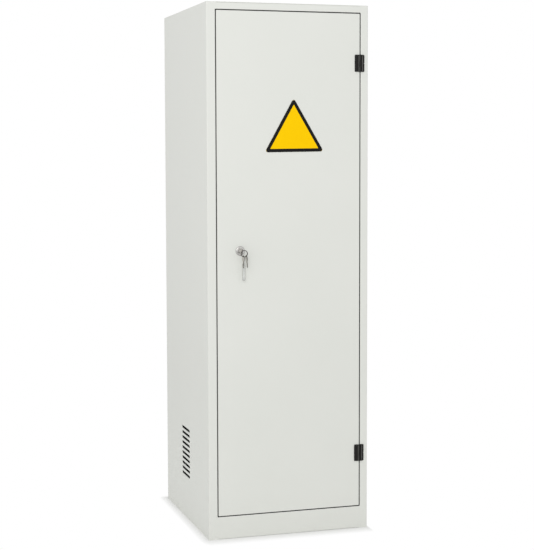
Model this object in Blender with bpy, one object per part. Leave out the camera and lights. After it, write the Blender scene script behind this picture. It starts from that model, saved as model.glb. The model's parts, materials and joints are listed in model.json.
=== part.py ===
"""Gas cylinder cabinet in welded sheet steel with one flush door, built as separate named pieces.

X runs to the right, Y away from the door and Z up. The origin is the middle of the footprint on the
floor. Every size is in metres. The door stands shut, and the lock stands open with its key in place.
"""

import math

import bmesh
import bpy
from mathutils import Matrix, Vector

# Body
WIDTH = 0.600
DEPTH = 0.650
HEIGHT = 1.900
SHEET = 0.0015
BEND = 0.003
BEND_STEPS = 4
SEAM = 0.0003
LEFT_STILE = 0.0325
RIGHT_STILE = 0.029
HEADER = 0.0265
PLINTH = 0.081
REAR_RETURN = 0.025
BACK_FLANGE = 0.022
STOP_REACH = 0.018
STOP_CLEARANCE = 0.003
HEADER_SHELF = 0.020
PLINTH_SHELF = 0.045
PLINTH_FOOT = 0.020
FLOOR_FLANGE = 0.025
BEARER_WIDTH = 0.080
BEARER_FLANGE = 0.025
BEARER_END_GAP = 0.010

# Ventilation slots
VENT_COUNT = 10
VENT_LENGTH = 0.118
VENT_HEIGHT = 0.0104
VENT_PITCH = 0.0194
VENT_LOWEST = 0.163
VENT_SETBACK = 0.339

# Cylinder holder on the back panel
RAIL_LEVEL = 1.150
RAIL_HEIGHT = 0.050
RAIL_DEPTH = 0.030
RAIL_END_GAP = 0.010
SADDLE_SEAT = 0.080
SADDLE_WING = 0.050
SADDLE_RISE = 0.060
SADDLE_HEIGHT = 0.040
HOOK_WIDTH = 0.018
HOOK_FOOT = 0.030
HOOK_REACH = 0.022
HOOK_TIP = 0.014
HOOK_END_INSET = 0.004

# Door
DOOR_GAP = 0.003
DOOR_DEPTH = 0.020
DOOR_LIP = 0.012
DOOR_CORNER = 0.002
STIFFENER_WIDTH = 0.050
STIFFENER_FLANGE = 0.015
STIFFENER_EDGE = 0.116
BUFFER_RADIUS = 0.006
BUFFER_INSET = 0.370

# Hinges
HINGE_HEIGHT = 0.061
HINGE_TOP_INSET = 0.176
HINGE_BOTTOM_INSET = 0.1955
DOOR_LEAF = 0.0205
FRAME_LEAF = 0.016
LEAF_EDGE = 0.003
LEAF_CORNER = 0.002
LEAF_TRIM = 0.0005
AXIS_PROUD = 0.004
RIDGE_REACH = 0.0075
RIDGE_WIDTH = 0.0022
RIDGE_PROUD = 0.0083
BARREL_RADIUS = 0.0029
MIDDLE_KNUCKLE = 0.024
PIN_RADIUS = 0.0015
NOTCH_RADIUS = 0.0015
SCREW_RADIUS = 0.002
SCREW_HEAD_RADIUS = 0.004
SCREW_HEAD = 0.0025
SCREW_BITE = 0.0025
SCREW_SPREAD = 0.018
DOOR_SCREW_REACH = 0.014
FRAME_SCREW_REACH = 0.0095

# Sign plate
SIGN_SIDE = 0.220
SIGN_CORNER = 0.007
SIGN_THICKNESS = 0.001
SIGN_DROP = 0.3017
SIGN_SHIFT = 0.0183
SIGN_TILT = 0.7

# Lock and locking rods
LOCK_INSET = 0.0837
LOCK_LEVEL = 0.9459
COLLAR_RADIUS = 0.0167
COLLAR_PROUD = 0.0032
LOCK_BODY_RADIUS = 0.0095
LOCK_BODY_LENGTH = 0.0212
PLUG_RADIUS = 0.007
PLUG_PROUD = 0.0004
PLUG_TAIL = 0.008
NUT_WIDTH = 0.026
NUT_HEIGHT = 0.006
CAM_THICKNESS = 0.003
CAM_HALF_WIDTH = 0.007
CAM_PIN_REACH = 0.018
CAM_PIN_RADIUS = 0.0025
CAM_PIN_PLAY = 0.0008
CAM_SCREW_RADIUS = 0.002
CAM_SCREW_HEAD_RADIUS = 0.0042
CAM_SCREW_HEAD = 0.0026
CAM_SCREW_BITE = 0.006
ROD_WIDTH = 0.016
ROD_THICKNESS = 0.003
ROD_CLEARANCE = 0.0006
ROD_TIP_CLEARANCE = 0.004
YOKE_WALL = 0.003
GUIDE_WIDTH = 0.028
GUIDE_HEIGHT = 0.014
GUIDE_BACK = 0.0024
GUIDE_TIP_INSET = 0.024
GUIDE_FROM_LOCK = 0.300
KEEPER_CLEARANCE = 0.001

# Keys
KEY_THICKNESS = 0.002
BLADE_WIDTH = 0.0084
BLADE_LENGTH = 0.018
KEYWAY_BOTTOM = 0.001
NECK_LENGTH = 0.003
BOW_RADIUS = 0.0115
EYE_RADIUS = 0.0026
EYE_OFFSET = 0.006
RING_RADIUS = 0.0115
RING_WIRE = 0.0008
KEY_SAG = 0.001
SPARE_KEY_TURN = -54.0
SPARE_KEY_LEAN = 6.0
SECOND_KEY_TURN = -109.0
TAG_TURN = -90.0
TAG_WIDTH = 0.011
TAG_LENGTH = 0.062
TAG_NECK_WIDTH = 0.0036
TAG_THICKNESS = 0.001
TAG_DROP = 0.022
TAG_SETBACK = 0.007
TAG_EYE_WALL = 0.0008

ROUND_SIDES = 24
FINE_SIDES = 16

# Places that follow from the sizes above
LEFT = -WIDTH / 2
RIGHT = WIDTH / 2
FRONT = -DEPTH / 2
BACK = DEPTH / 2
WALL_TOP = HEIGHT - SHEET - SEAM
DOOR_LEFT = LEFT + LEFT_STILE + DOOR_GAP
DOOR_RIGHT = RIGHT - RIGHT_STILE - DOOR_GAP
DOOR_BOTTOM = PLINTH + DOOR_GAP
DOOR_TOP = HEIGHT - HEADER - DOOR_GAP
DOOR_MIDDLE = (DOOR_LEFT + DOOR_RIGHT) / 2
DOOR_INNER = FRONT + SHEET + SEAM
DOOR_BACK = FRONT + DOOR_DEPTH
STOP_FRONT = DOOR_BACK + STOP_CLEARANCE
STOP_BOTTOM = HEIGHT - HEADER - STOP_REACH
BACK_FACE = BACK - SHEET - SEAM
BACK_INNER = BACK_FACE - SHEET - SEAM
HINGE_X = RIGHT - RIGHT_STILE - DOOR_GAP / 2
HINGE_Y = FRONT - AXIS_PROUD
HINGE_LEVELS = {
    "upper": DOOR_TOP - HINGE_TOP_INSET,
    "lower": DOOR_BOTTOM + HINGE_BOTTOM_INSET,
}
LOCK_X = DOOR_LEFT + LOCK_INSET
LOCK_Z = DOOR_BOTTOM + LOCK_LEVEL
CAM_FRONT = FRONT + LOCK_BODY_LENGTH + SEAM
CAM_BACK = CAM_FRONT + CAM_THICKNESS
ROD_FRONT = max(STOP_FRONT + SHEET, CAM_BACK) + ROD_CLEARANCE
ROD_BACK = ROD_FRONT + ROD_THICKNESS
PIN_SIDE = CAM_PIN_REACH * math.cos(math.radians(45))
ROD_SIDE = (PIN_SIDE + CAM_PIN_REACH) / 2
COLLAR_FACE = FRONT - COLLAR_PROUD
PLUG_FACE = COLLAR_FACE - PLUG_PROUD
BOW_Y = PLUG_FACE - SEAM - NECK_LENGTH - BOW_RADIUS
EYE_Y = BOW_Y - EYE_OFFSET
RING_X = LOCK_X + RING_RADIUS * math.sin(math.radians(45))
RING_Z = LOCK_Z - RING_RADIUS * math.cos(math.radians(45))

# Finishes: colour, roughness, metallic
GREY_COAT = ((0.76, 0.77, 0.73), 0.45, 0.0)
BLACK_CAST = ((0.03, 0.03, 0.028), 0.5, 0.0)
BRIGHT_STEEL = ((0.62, 0.62, 0.6), 0.25, 1.0)
ZINC_STEEL = ((0.5, 0.51, 0.52), 0.4, 1.0)
BLACK_RUBBER = ((0.025, 0.025, 0.025), 0.8, 0.0)
GREY_PLASTIC = ((0.2, 0.2, 0.2), 0.5, 0.0)
PALE_PLASTIC = ((0.72, 0.73, 0.71), 0.35, 0.0)
SIGN_YELLOW = ((0.98, 0.6, 0.005), 0.4, 0.0)


def clear_scene():
    for old in list(bpy.data.objects):
        bpy.data.objects.remove(old, do_unlink=True)


def finish_material(name, finish):
    colour, roughness, metallic = finish
    material = bpy.data.materials.new(name)
    material.use_nodes = True
    shader = material.node_tree.nodes["Principled BSDF"]
    shader.inputs["Base Color"].default_value = (*colour, 1.0)
    shader.inputs["Roughness"].default_value = roughness
    shader.inputs["Metallic"].default_value = metallic
    return material


def pivot(name, place, parent=None):
    """An empty on a joint's axis, which carries the pieces that move there."""
    empty = bpy.data.objects.new(name, None)
    bpy.context.scene.collection.objects.link(empty)
    empty.location = place
    bpy.context.view_layer.update()
    hang_on(empty, parent)
    return empty


def hang_on(child, parent):
    """Parents an object without moving it."""
    if parent is not None:
        child.parent = parent
        child.matrix_parent_inverse = parent.matrix_world.inverted()
        bpy.context.view_layer.update()


def mesh_object(name, shape):
    mesh = bpy.data.meshes.new(name)
    shape.to_mesh(mesh)
    shape.free()
    mesh.shade_smooth()
    mesh.set_sharp_from_angle(angle=math.radians(30))
    made = bpy.data.objects.new(name, mesh)
    bpy.context.scene.collection.objects.link(made)
    return made


def piece(name, shape, finish, parent=None):
    made = mesh_object(name, shape)
    made.data.materials.append(finish_material(name, finish))
    hang_on(made, parent)
    return made


def combine(target, shape, operation="DIFFERENCE"):
    """Cuts a shape out of a piece, or joins it on, with a hidden tool object."""
    tool = mesh_object(target.name + "_tool", shape)
    tool.hide_render = True
    tool.display_type = "WIRE"
    hang_on(tool, target.parent)
    modifier = target.modifiers.new(operation.lower(), "BOOLEAN")
    modifier.operation = operation
    modifier.solver = "EXACT"
    modifier.object = tool


def place(point, level, axis):
    """A point of a flat outline, set at a level along the axis that the outline faces."""
    a, b = point
    if axis == "X":
        return (level, a, b)
    if axis == "Y":
        return (a, level, b)
    return (a, b, level)


def prism(outline, axis, low, high, shape=None):
    shape = shape or bmesh.new()
    first = [shape.verts.new(place(point, low, axis)) for point in outline]
    last = [shape.verts.new(place(point, high, axis)) for point in outline]
    shape.faces.new(first)
    shape.faces.new(last)
    for index in range(len(outline)):
        after = (index + 1) % len(outline)
        shape.faces.new((first[index], first[after], last[after], last[index]))
    bmesh.ops.recalc_face_normals(shape, faces=shape.faces)
    return shape


def block(low, high, shape=None):
    outline = [(low[0], low[1]), (high[0], low[1]), (high[0], high[1]), (low[0], high[1])]
    return prism(outline, "Z", low[2], high[2], shape)


def arc(centre, radius, start, end, steps):
    points = []
    for step in range(steps + 1):
        angle = math.radians(start + (end - start) * step / steps)
        points.append((centre[0] + radius * math.cos(angle), centre[1] + radius * math.sin(angle)))
    return points


def circle(centre, radius, sides=ROUND_SIDES):
    return arc(centre, radius, 0, 360, sides)[:-1]


def slot_outline(centre, half_length, radius):
    right_end = arc((centre[0] + half_length - radius, centre[1]), radius, -90, 90, 8)
    left_end = arc((centre[0] - half_length + radius, centre[1]), radius, 90, 270, 8)
    return right_end + left_end


def rounded_rectangle(low, high, radius, steps=4):
    outline = arc((high[0] - radius, low[1] + radius), radius, -90, 0, steps)
    outline += arc((high[0] - radius, high[1] - radius), radius, 0, 90, steps)
    outline += arc((low[0] + radius, high[1] - radius), radius, 90, 180, steps)
    outline += arc((low[0] + radius, low[1] + radius), radius, 180, 270, steps)
    return outline


def turned(profile, centre, axis, closed=False, sides=ROUND_SIDES):
    """A turned solid. The profile lists radius and level; a closed profile leaves a bore."""
    shape = bmesh.new()
    rings = []
    for radius, level in profile:
        rings.append([shape.verts.new(place(point, level, axis)) for point in circle(centre, radius, sides)])
    pairs = list(zip(rings, rings[1:]))
    if closed:
        pairs.append((rings[-1], rings[0]))
    else:
        shape.faces.new(rings[0])
        shape.faces.new(rings[-1])
    for ring, following in pairs:
        for index in range(sides):
            after = (index + 1) % sides
            shape.faces.new((ring[index], ring[after], following[after], following[index]))
    bmesh.ops.recalc_face_normals(shape, faces=shape.faces)
    return shape


def right_hand(direction):
    return Vector((direction.y, -direction.x))


def bent_path(corners, sheet):
    """The face of a folded sheet: corners become bends, with the sheet on the right-hand side."""
    corners = [Vector(corner) for corner in corners]
    path = [corners[0]]
    for before, corner, after in zip(corners, corners[1:], corners[2:]):
        into = (corner - before).normalized()
        out = (after - corner).normalized()
        turn = math.atan2(into.x * out.y - into.y * out.x, into.dot(out))
        radius = max(BEND, 1.5 * sheet)
        side = right_hand(into)
        if turn > 0:
            radius = radius - sheet
            side = -side
        start = corner - into * radius * math.tan(abs(turn) / 2)
        centre = start + side * radius
        for step in range(BEND_STEPS + 1):
            path.append(centre + Matrix.Rotation(turn * step / BEND_STEPS, 2) @ (start - centre))
    path.append(corners[-1])
    return path


def folded(corners, sheet=SHEET):
    """The closed section of a folded sheet."""
    path = bent_path(corners, sheet)
    other_face = []
    for index, point in enumerate(path):
        sides = []
        if index > 0:
            sides.append(right_hand((point - path[index - 1]).normalized()))
        if index < len(path) - 1:
            sides.append(right_hand((path[index + 1] - point).normalized()))
        first, last = sides[0], sides[-1]
        other_face.append(point + (first + last) * sheet / (1 + first.dot(last)))
    return path + other_face[::-1]


def mirrored(corners):
    """The same fold on the other side, walked the other way so that the sheet stays inside."""
    return [(-a, b) for a, b in reversed(corners)]


def stile_corners(stile):
    edge = LEFT + stile
    return [
        (edge + STOP_REACH, STOP_FRONT),
        (edge, STOP_FRONT),
        (edge, FRONT),
        (LEFT, FRONT),
        (LEFT, BACK),
        (LEFT + REAR_RETURN, BACK),
    ]


def vent_cutter(low_x, high_x):
    shape = bmesh.new()
    for index in range(VENT_COUNT):
        middle = (FRONT + VENT_SETBACK, VENT_LOWEST + index * VENT_PITCH)
        prism(slot_outline(middle, VENT_LENGTH / 2, VENT_HEIGHT / 2), "X", low_x, high_x, shape)
    return shape


def make_side_panels():
    left = piece("left_side_panel", prism(folded(stile_corners(LEFT_STILE)), "Z", 0, WALL_TOP), GREY_COAT)
    combine(left, vent_cutter(LEFT - SHEET, LEFT + 2 * SHEET))
    corners = mirrored(stile_corners(RIGHT_STILE))
    right = piece("right_side_panel", prism(folded(corners), "Z", 0, WALL_TOP), GREY_COAT)
    combine(right, vent_cutter(RIGHT - 2 * SHEET, RIGHT + SHEET))


def make_back_and_top():
    edge = RIGHT - SHEET - SEAM
    corners = [
        (-edge, BACK_FACE - BACK_FLANGE),
        (-edge, BACK_FACE),
        (edge, BACK_FACE),
        (edge, BACK_FACE - BACK_FLANGE),
    ]
    piece("back_panel", prism(folded(corners), "Z", 0, WALL_TOP), GREY_COAT)
    outline = rounded_rectangle((LEFT, FRONT), (RIGHT, BACK), BEND, BEND_STEPS)
    piece("top_panel", prism(outline, "Z", HEIGHT - SHEET, HEIGHT), GREY_COAT)


def clear_of_stops(target, low_z, high_z):
    """Notches a cross member at both ends, where the stiles carry their door stops."""
    near = STOP_FRONT - BEND
    deep = STOP_FRONT + PLINTH_SHELF
    left_end = LEFT + LEFT_STILE + STOP_REACH + SEAM
    right_end = RIGHT - RIGHT_STILE - STOP_REACH - SEAM
    shape = block((LEFT, near, low_z - SHEET), (left_end, deep, high_z + SHEET))
    block((right_end, near, low_z - SHEET), (RIGHT, deep, high_z + SHEET), shape)
    combine(target, shape)


def make_cross_members():
    low_x = LEFT + LEFT_STILE + SEAM
    high_x = RIGHT - RIGHT_STILE - SEAM
    corners = [
        (STOP_FRONT, STOP_BOTTOM),
        (STOP_FRONT, HEIGHT - HEADER),
        (FRONT, HEIGHT - HEADER),
        (FRONT, WALL_TOP),
        (FRONT + HEADER_SHELF, WALL_TOP),
    ]
    header = piece("header_rail", prism(folded(corners), "X", low_x, high_x), GREY_COAT)
    clear_of_stops(header, STOP_BOTTOM, HEIGHT)

    corners = [
        (FRONT + PLINTH_FOOT, 0),
        (FRONT, 0),
        (FRONT, PLINTH),
        (FRONT + PLINTH_SHELF, PLINTH),
    ]
    plinth = piece("plinth_front", prism(folded(corners), "X", low_x, high_x), GREY_COAT)
    clear_of_stops(plinth, 0, PLINTH)
    half = ROD_WIDTH / 2 + KEEPER_CLEARANCE
    keeper_x = LOCK_X - ROD_SIDE
    low = (keeper_x - half, ROD_FRONT - KEEPER_CLEARANCE, PLINTH - 2 * SHEET)
    high = (keeper_x + half, ROD_BACK + KEEPER_CLEARANCE, PLINTH + SHEET)
    combine(plinth, block(low, high))


def make_floor():
    edge = RIGHT - SHEET - BEND - 2 * SEAM
    front = FRONT + PLINTH_SHELF + SEAM
    corners = [
        (-edge, PLINTH - FLOOR_FLANGE),
        (-edge, PLINTH),
        (edge, PLINTH),
        (edge, PLINTH - FLOOR_FLANGE),
    ]
    piece("floor_panel", prism(folded(corners), "Y", front, BACK_INNER), GREY_COAT)
    half = BEARER_WIDTH / 2
    under = PLINTH - SHEET - SEAM
    corners = [
        (-half - BEARER_FLANGE, under),
        (-half, under),
        (-half, SHEET),
        (half, SHEET),
        (half, under),
        (half + BEARER_FLANGE, under),
    ]
    shape = prism(folded(corners), "Y", front + BEARER_END_GAP, BACK_INNER - BEARER_END_GAP)
    piece("floor_bearer", shape, GREY_COAT)


def make_cylinder_holder():
    low_z = RAIL_LEVEL - RAIL_HEIGHT / 2
    high_z = RAIL_LEVEL + RAIL_HEIGHT / 2
    web = BACK_INNER - RAIL_DEPTH
    corners = [(BACK_INNER, low_z), (web, low_z), (web, high_z), (BACK_INNER, high_z)]
    reach = RIGHT - SHEET - BACK_FLANGE - RAIL_END_GAP
    piece("retaining_rail", prism(folded(corners), "X", -reach, reach), GREY_COAT)

    seat = web - SEAM
    outer_hook = reach - HOOK_END_INSET - HOOK_WIDTH / 2
    for name, side in (("left_saddle", -1), ("right_saddle", 1)):
        middle = side * outer_hook / 2
        half = SADDLE_SEAT / 2
        corners = [
            (middle - half - SADDLE_WING, seat - SADDLE_RISE),
            (middle - half, seat),
            (middle + half, seat),
            (middle + half + SADDLE_WING, seat - SADDLE_RISE),
        ]
        shape = prism(folded(corners), "Z", RAIL_LEVEL - SADDLE_HEIGHT / 2, RAIL_LEVEL + SADDLE_HEIGHT / 2)
        piece(name, shape, GREY_COAT)

    foot_low = RAIL_LEVEL - HOOK_FOOT / 2
    foot_high = RAIL_LEVEL + HOOK_FOOT / 2
    for name, side in (("left_hook", -1), ("middle_hook", 0), ("right_hook", 1)):
        corners = [
            (seat, foot_high),
            (seat, foot_low),
            (seat - HOOK_REACH, foot_low),
            (seat - HOOK_REACH, foot_low + HOOK_TIP),
        ]
        middle = side * outer_hook
        shape = prism(folded(corners), "X", middle - HOOK_WIDTH / 2, middle + HOOK_WIDTH / 2)
        piece(name, shape, ZINC_STEEL)


def make_buffers():
    x = LEFT + LEFT_STILE + DOOR_GAP + DOOR_LIP / 2 + SHEET / 2
    for name, z in (("upper_buffer", DOOR_TOP - BUFFER_INSET), ("lower_buffer", DOOR_BOTTOM + BUFFER_INSET)):
        profile = [
            (BUFFER_RADIUS * 0.8, DOOR_BACK + SEAM),
            (BUFFER_RADIUS, DOOR_BACK + 2 * SEAM),
            (BUFFER_RADIUS, STOP_FRONT - SEAM),
        ]
        piece(name, turned(profile, (x, z), "Y", sides=FINE_SIDES), BLACK_RUBBER)


def make_door(door_axis):
    outline = rounded_rectangle((DOOR_LEFT, DOOR_BOTTOM), (DOOR_RIGHT, DOOR_TOP), DOOR_CORNER)
    shape = prism(outline, "Y", FRONT, DOOR_BACK)
    front_edges = [edge for edge in shape.edges if all(vert.co.y < FRONT + SEAM for vert in edge.verts)]
    bmesh.ops.bevel(shape, geom=front_edges, offset=SHEET / 2, segments=2, profile=0.5, affect="EDGES")
    door = piece("door_panel", shape, GREY_COAT, door_axis)
    pan_low = (DOOR_LEFT + SHEET, FRONT + SHEET, DOOR_BOTTOM + SHEET)
    pan_high = (DOOR_RIGHT - SHEET, DOOR_BACK - SHEET, DOOR_TOP - SHEET)
    combine(door, block(pan_low, pan_high))
    lip = SHEET + DOOR_LIP
    mouth_low = (DOOR_LEFT + lip, DOOR_BACK - 2 * SHEET, DOOR_BOTTOM + lip)
    mouth_high = (DOOR_RIGHT - lip, DOOR_BACK + SHEET, DOOR_TOP - lip)
    combine(door, block(mouth_low, mouth_high))
    holes = prism(circle((LOCK_X, LOCK_Z), LOCK_BODY_RADIUS + SEAM), "Y", FRONT - SHEET, FRONT + 2 * SHEET)
    screw_holes(HINGE_X - DOOR_SCREW_REACH, holes)
    combine(door, holes)

    crown = DOOR_BACK - SHEET
    half = STIFFENER_WIDTH / 2
    for name, middle in (
        ("middle_stiffener", DOOR_MIDDLE),
        ("hinge_side_stiffener", DOOR_RIGHT - STIFFENER_EDGE),
    ):
        corners = [
            (middle + half + STIFFENER_FLANGE, DOOR_INNER),
            (middle + half, DOOR_INNER),
            (middle + half, crown),
            (middle - half, crown),
            (middle - half, DOOR_INNER),
            (middle - half - STIFFENER_FLANGE, DOOR_INNER),
        ]
        shape = prism(folded(corners), "Z", DOOR_BOTTOM + lip + SEAM, DOOR_TOP - lip - SEAM)
        piece(name, shape, GREY_COAT, door_axis)


def screw_holes(x, shape):
    """Clearance holes for the screws of both hinges through the sheet behind one row of leaves."""
    for level in HINGE_LEVELS.values():
        for side in (-1, 1):
            centre = (x, level + side * SCREW_SPREAD)
            hole = circle(centre, SCREW_RADIUS + SEAM, FINE_SIDES)
            prism(hole, "Y", FRONT - SHEET, FRONT + 2 * SHEET, shape)
    return shape


def leaf_outline(reach, side):
    """The section of a hinge leaf: flat edge, raised ridge and a flank that runs down to the pin."""
    heights = [
        (DOOR_GAP / 2, SEAM),
        (reach, SEAM),
        (reach, LEAF_EDGE),
        (RIDGE_REACH + RIDGE_WIDTH, RIDGE_PROUD),
        (RIDGE_REACH, RIDGE_PROUD),
        (0.0, AXIS_PROUD),
    ]
    return [(HINGE_X + side * out, FRONT - proud) for out, proud in heights]


def make_leaf(name, reach, side, level, own_knuckles, other_knuckles, screw_x, parent):
    """The section runs a little past the leaf all round, and the outline with round corners trims it."""
    low = level - HINGE_HEIGHT / 2
    high = level + HINGE_HEIGHT / 2
    axis_point = (HINGE_X, HINGE_Y)
    section = leaf_outline(reach + LEAF_TRIM, side)
    leaf = piece(name, prism(section, "Z", low - LEAF_TRIM, high + LEAF_TRIM), BLACK_CAST, parent)
    barrels = bmesh.new()
    for bottom, top in own_knuckles:
        prism(circle(axis_point, BARREL_RADIUS), "Z", bottom, top, barrels)
    combine(leaf, barrels, "UNION")
    gaps = bmesh.new()
    for bottom, top in other_knuckles:
        prism(circle(axis_point, BARREL_RADIUS + SEAM), "Z", bottom - SEAM, top + SEAM, gaps)
    combine(leaf, gaps)
    holes = prism(circle(axis_point, PIN_RADIUS + SEAM, FINE_SIDES), "Z", low - SHEET, high + SHEET)
    combine(leaf, holes)
    threads = bmesh.new()
    for way in (-1, 1):
        centre = (screw_x, level + way * SCREW_SPREAD)
        bottom = FRONT - SCREW_BITE - 2 * SEAM
        prism(circle(centre, SCREW_RADIUS + SEAM, FINE_SIDES), "Y", bottom, FRONT + SHEET, threads)
    combine(leaf, threads)
    near = HINGE_X - side * 2 * BARREL_RADIUS
    far = HINGE_X + side * reach
    outline = rounded_rectangle((min(near, far), low), (max(near, far), high), LEAF_CORNER)
    combine(leaf, prism(outline, "Y", FRONT - 2 * RIDGE_PROUD, FRONT + SHEET), "INTERSECT")
    return leaf


def make_screw(name, x, z, parent):
    profile = [
        (SCREW_RADIUS, FRONT - SCREW_BITE),
        (SCREW_RADIUS, DOOR_INNER),
        (SCREW_HEAD_RADIUS, DOOR_INNER),
        (SCREW_HEAD_RADIUS, DOOR_INNER + SCREW_HEAD * 0.6),
        (SCREW_HEAD_RADIUS * 0.7, DOOR_INNER + SCREW_HEAD),
    ]
    piece(name, turned(profile, (x, z), "Y", sides=FINE_SIDES), ZINC_STEEL, parent)


def make_hinges(door_axis):
    door_screw_x = HINGE_X - DOOR_SCREW_REACH
    frame_screw_x = HINGE_X + FRAME_SCREW_REACH
    for where, level in HINGE_LEVELS.items():
        low = level - HINGE_HEIGHT / 2
        high = level + HINGE_HEIGHT / 2
        middle = [(level - MIDDLE_KNUCKLE / 2, level + MIDDLE_KNUCKLE / 2)]
        ends = [
            (low - LEAF_TRIM, level - MIDDLE_KNUCKLE / 2 - SEAM),
            (level + MIDDLE_KNUCKLE / 2 + SEAM, high + LEAF_TRIM),
        ]
        make_leaf(where + "_door_leaf", DOOR_LEAF, -1, level, ends, middle, door_screw_x, door_axis)
        leaf = make_leaf(where + "_frame_leaf", FRAME_LEAF, 1, level, middle, ends, frame_screw_x, None)
        notch = circle((HINGE_X + FRAME_LEAF, level), NOTCH_RADIUS, FINE_SIDES)
        combine(leaf, prism(notch, "Y", FRONT - 2 * RIDGE_PROUD, FRONT + SHEET))
        profile = [(PIN_RADIUS, low + SEAM), (PIN_RADIUS, high - SEAM)]
        piece(where + "_hinge_pin", turned(profile, (HINGE_X, HINGE_Y), "Z", sides=FINE_SIDES), BRIGHT_STEEL)
        for tag, side in (("low", -1), ("high", 1)):
            z = level + side * SCREW_SPREAD
            make_screw(where + "_door_screw_" + tag, door_screw_x, z, door_axis)
            make_screw(where + "_frame_screw_" + tag, frame_screw_x, z, None)
    right = bpy.data.objects["right_side_panel"]
    combine(right, screw_holes(frame_screw_x, bmesh.new()))


def make_sign(door_axis):
    """A blank triangular plate with round corners, stuck on a little crooked."""
    inset = SIGN_SIDE / math.sqrt(12) - SIGN_CORNER
    corner_reach = 2 * inset
    outline = []
    for corner_angle in (90, 210, 330):
        tilted = math.radians(corner_angle + SIGN_TILT)
        centre_x = DOOR_MIDDLE + SIGN_SHIFT + corner_reach * math.cos(tilted)
        centre_z = DOOR_TOP - SIGN_DROP - SIGN_SIDE / math.sqrt(3) + corner_reach * math.sin(tilted)
        start = corner_angle + SIGN_TILT - 60
        outline += arc((centre_x, centre_z), SIGN_CORNER, start, start + 120, 6)
    shape = prism(outline, "Y", FRONT - SEAM - SIGN_THICKNESS, FRONT - SEAM)
    piece("sign_plate", shape, SIGN_YELLOW, door_axis)


def make_lock(door_axis, lock_axis):
    centre = (LOCK_X, LOCK_Z)
    body_end = FRONT + LOCK_BODY_LENGTH
    bore = PLUG_RADIUS + SEAM
    profile = [
        (bore, COLLAR_FACE),
        (COLLAR_RADIUS * 0.8, COLLAR_FACE),
        (COLLAR_RADIUS, COLLAR_FACE + COLLAR_PROUD * 0.45),
        (COLLAR_RADIUS, FRONT - SEAM),
        (LOCK_BODY_RADIUS, FRONT - SEAM),
        (LOCK_BODY_RADIUS, body_end),
        (bore, body_end),
    ]
    piece("lock_housing", turned(profile, centre, "Y", closed=True, sides=32), BRIGHT_STEEL, door_axis)

    hexagon = circle(centre, NUT_WIDTH / math.sqrt(3), 6)
    nut = piece("lock_nut", prism(hexagon, "Y", DOOR_INNER, DOOR_INNER + NUT_HEIGHT), ZINC_STEEL, door_axis)
    hole = circle(centre, LOCK_BODY_RADIUS + SEAM)
    combine(nut, prism(hole, "Y", DOOR_INNER - SHEET, DOOR_INNER + NUT_HEIGHT + SHEET))

    profile = [(PLUG_RADIUS, PLUG_FACE), (PLUG_RADIUS, body_end)]
    plug = piece("lock_plug", turned(profile, centre, "Y"), BRIGHT_STEEL, lock_axis)
    half = PLUG_TAIL / 2
    tail_end = CAM_BACK - SEAM
    tail_low = (LOCK_X - half, body_end - CAM_THICKNESS, LOCK_Z - half)
    combine(plug, block(tail_low, (LOCK_X + half, tail_end, LOCK_Z + half)), "UNION")
    key_half = KEY_THICKNESS / 2 + SEAM
    key_edge = BLADE_WIDTH / 2 + SEAM
    key_end = PLUG_FACE + BLADE_LENGTH + KEYWAY_BOTTOM
    keyway_low = (LOCK_X - key_half, PLUG_FACE - SHEET, LOCK_Z - key_edge)
    combine(plug, block(keyway_low, (LOCK_X + key_half, key_end, LOCK_Z + key_edge)))
    thread = circle(centre, CAM_SCREW_RADIUS + SEAM, FINE_SIDES)
    combine(plug, prism(thread, "Y", tail_end - CAM_SCREW_BITE - SEAM, tail_end + SHEET))

    make_cam(centre, lock_axis)
    profile = [
        (CAM_SCREW_RADIUS, tail_end - CAM_SCREW_BITE),
        (CAM_SCREW_RADIUS, CAM_BACK + SEAM),
        (CAM_SCREW_HEAD_RADIUS, CAM_BACK + SEAM),
        (CAM_SCREW_HEAD_RADIUS, CAM_BACK + SEAM + CAM_SCREW_HEAD),
    ]
    piece("cam_screw", turned(profile, centre, "Y", sides=FINE_SIDES), ZINC_STEEL, lock_axis)


def make_cam(centre, lock_axis):
    """A double lever with one pin for each rod, standing at 45 degrees while the lock is open."""
    ends = arc((CAM_PIN_REACH, 0), CAM_HALF_WIDTH, -90, 90, 8)
    ends += arc((-CAM_PIN_REACH, 0), CAM_HALF_WIDTH, 90, 270, 8)
    swing = Matrix.Rotation(math.radians(-45), 2)
    outline = [Vector(centre) + swing @ Vector(point) for point in ends]
    cam = piece("lock_cam", prism(outline, "Y", CAM_FRONT, CAM_BACK), ZINC_STEEL, lock_axis)
    half = PLUG_TAIL / 2 + SEAM
    square_low = (LOCK_X - half, CAM_FRONT - SHEET, LOCK_Z - half)
    combine(cam, block(square_low, (LOCK_X + half, CAM_BACK + SHEET, LOCK_Z + half)))
    pins = bmesh.new()
    for side in (-1, 1):
        pin_centre = (LOCK_X + side * PIN_SIDE, LOCK_Z - side * PIN_SIDE)
        prism(circle(pin_centre, CAM_PIN_RADIUS, FINE_SIDES), "Y", CAM_BACK - SHEET, ROD_BACK + SEAM, pins)
    combine(cam, pins, "UNION")


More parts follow.
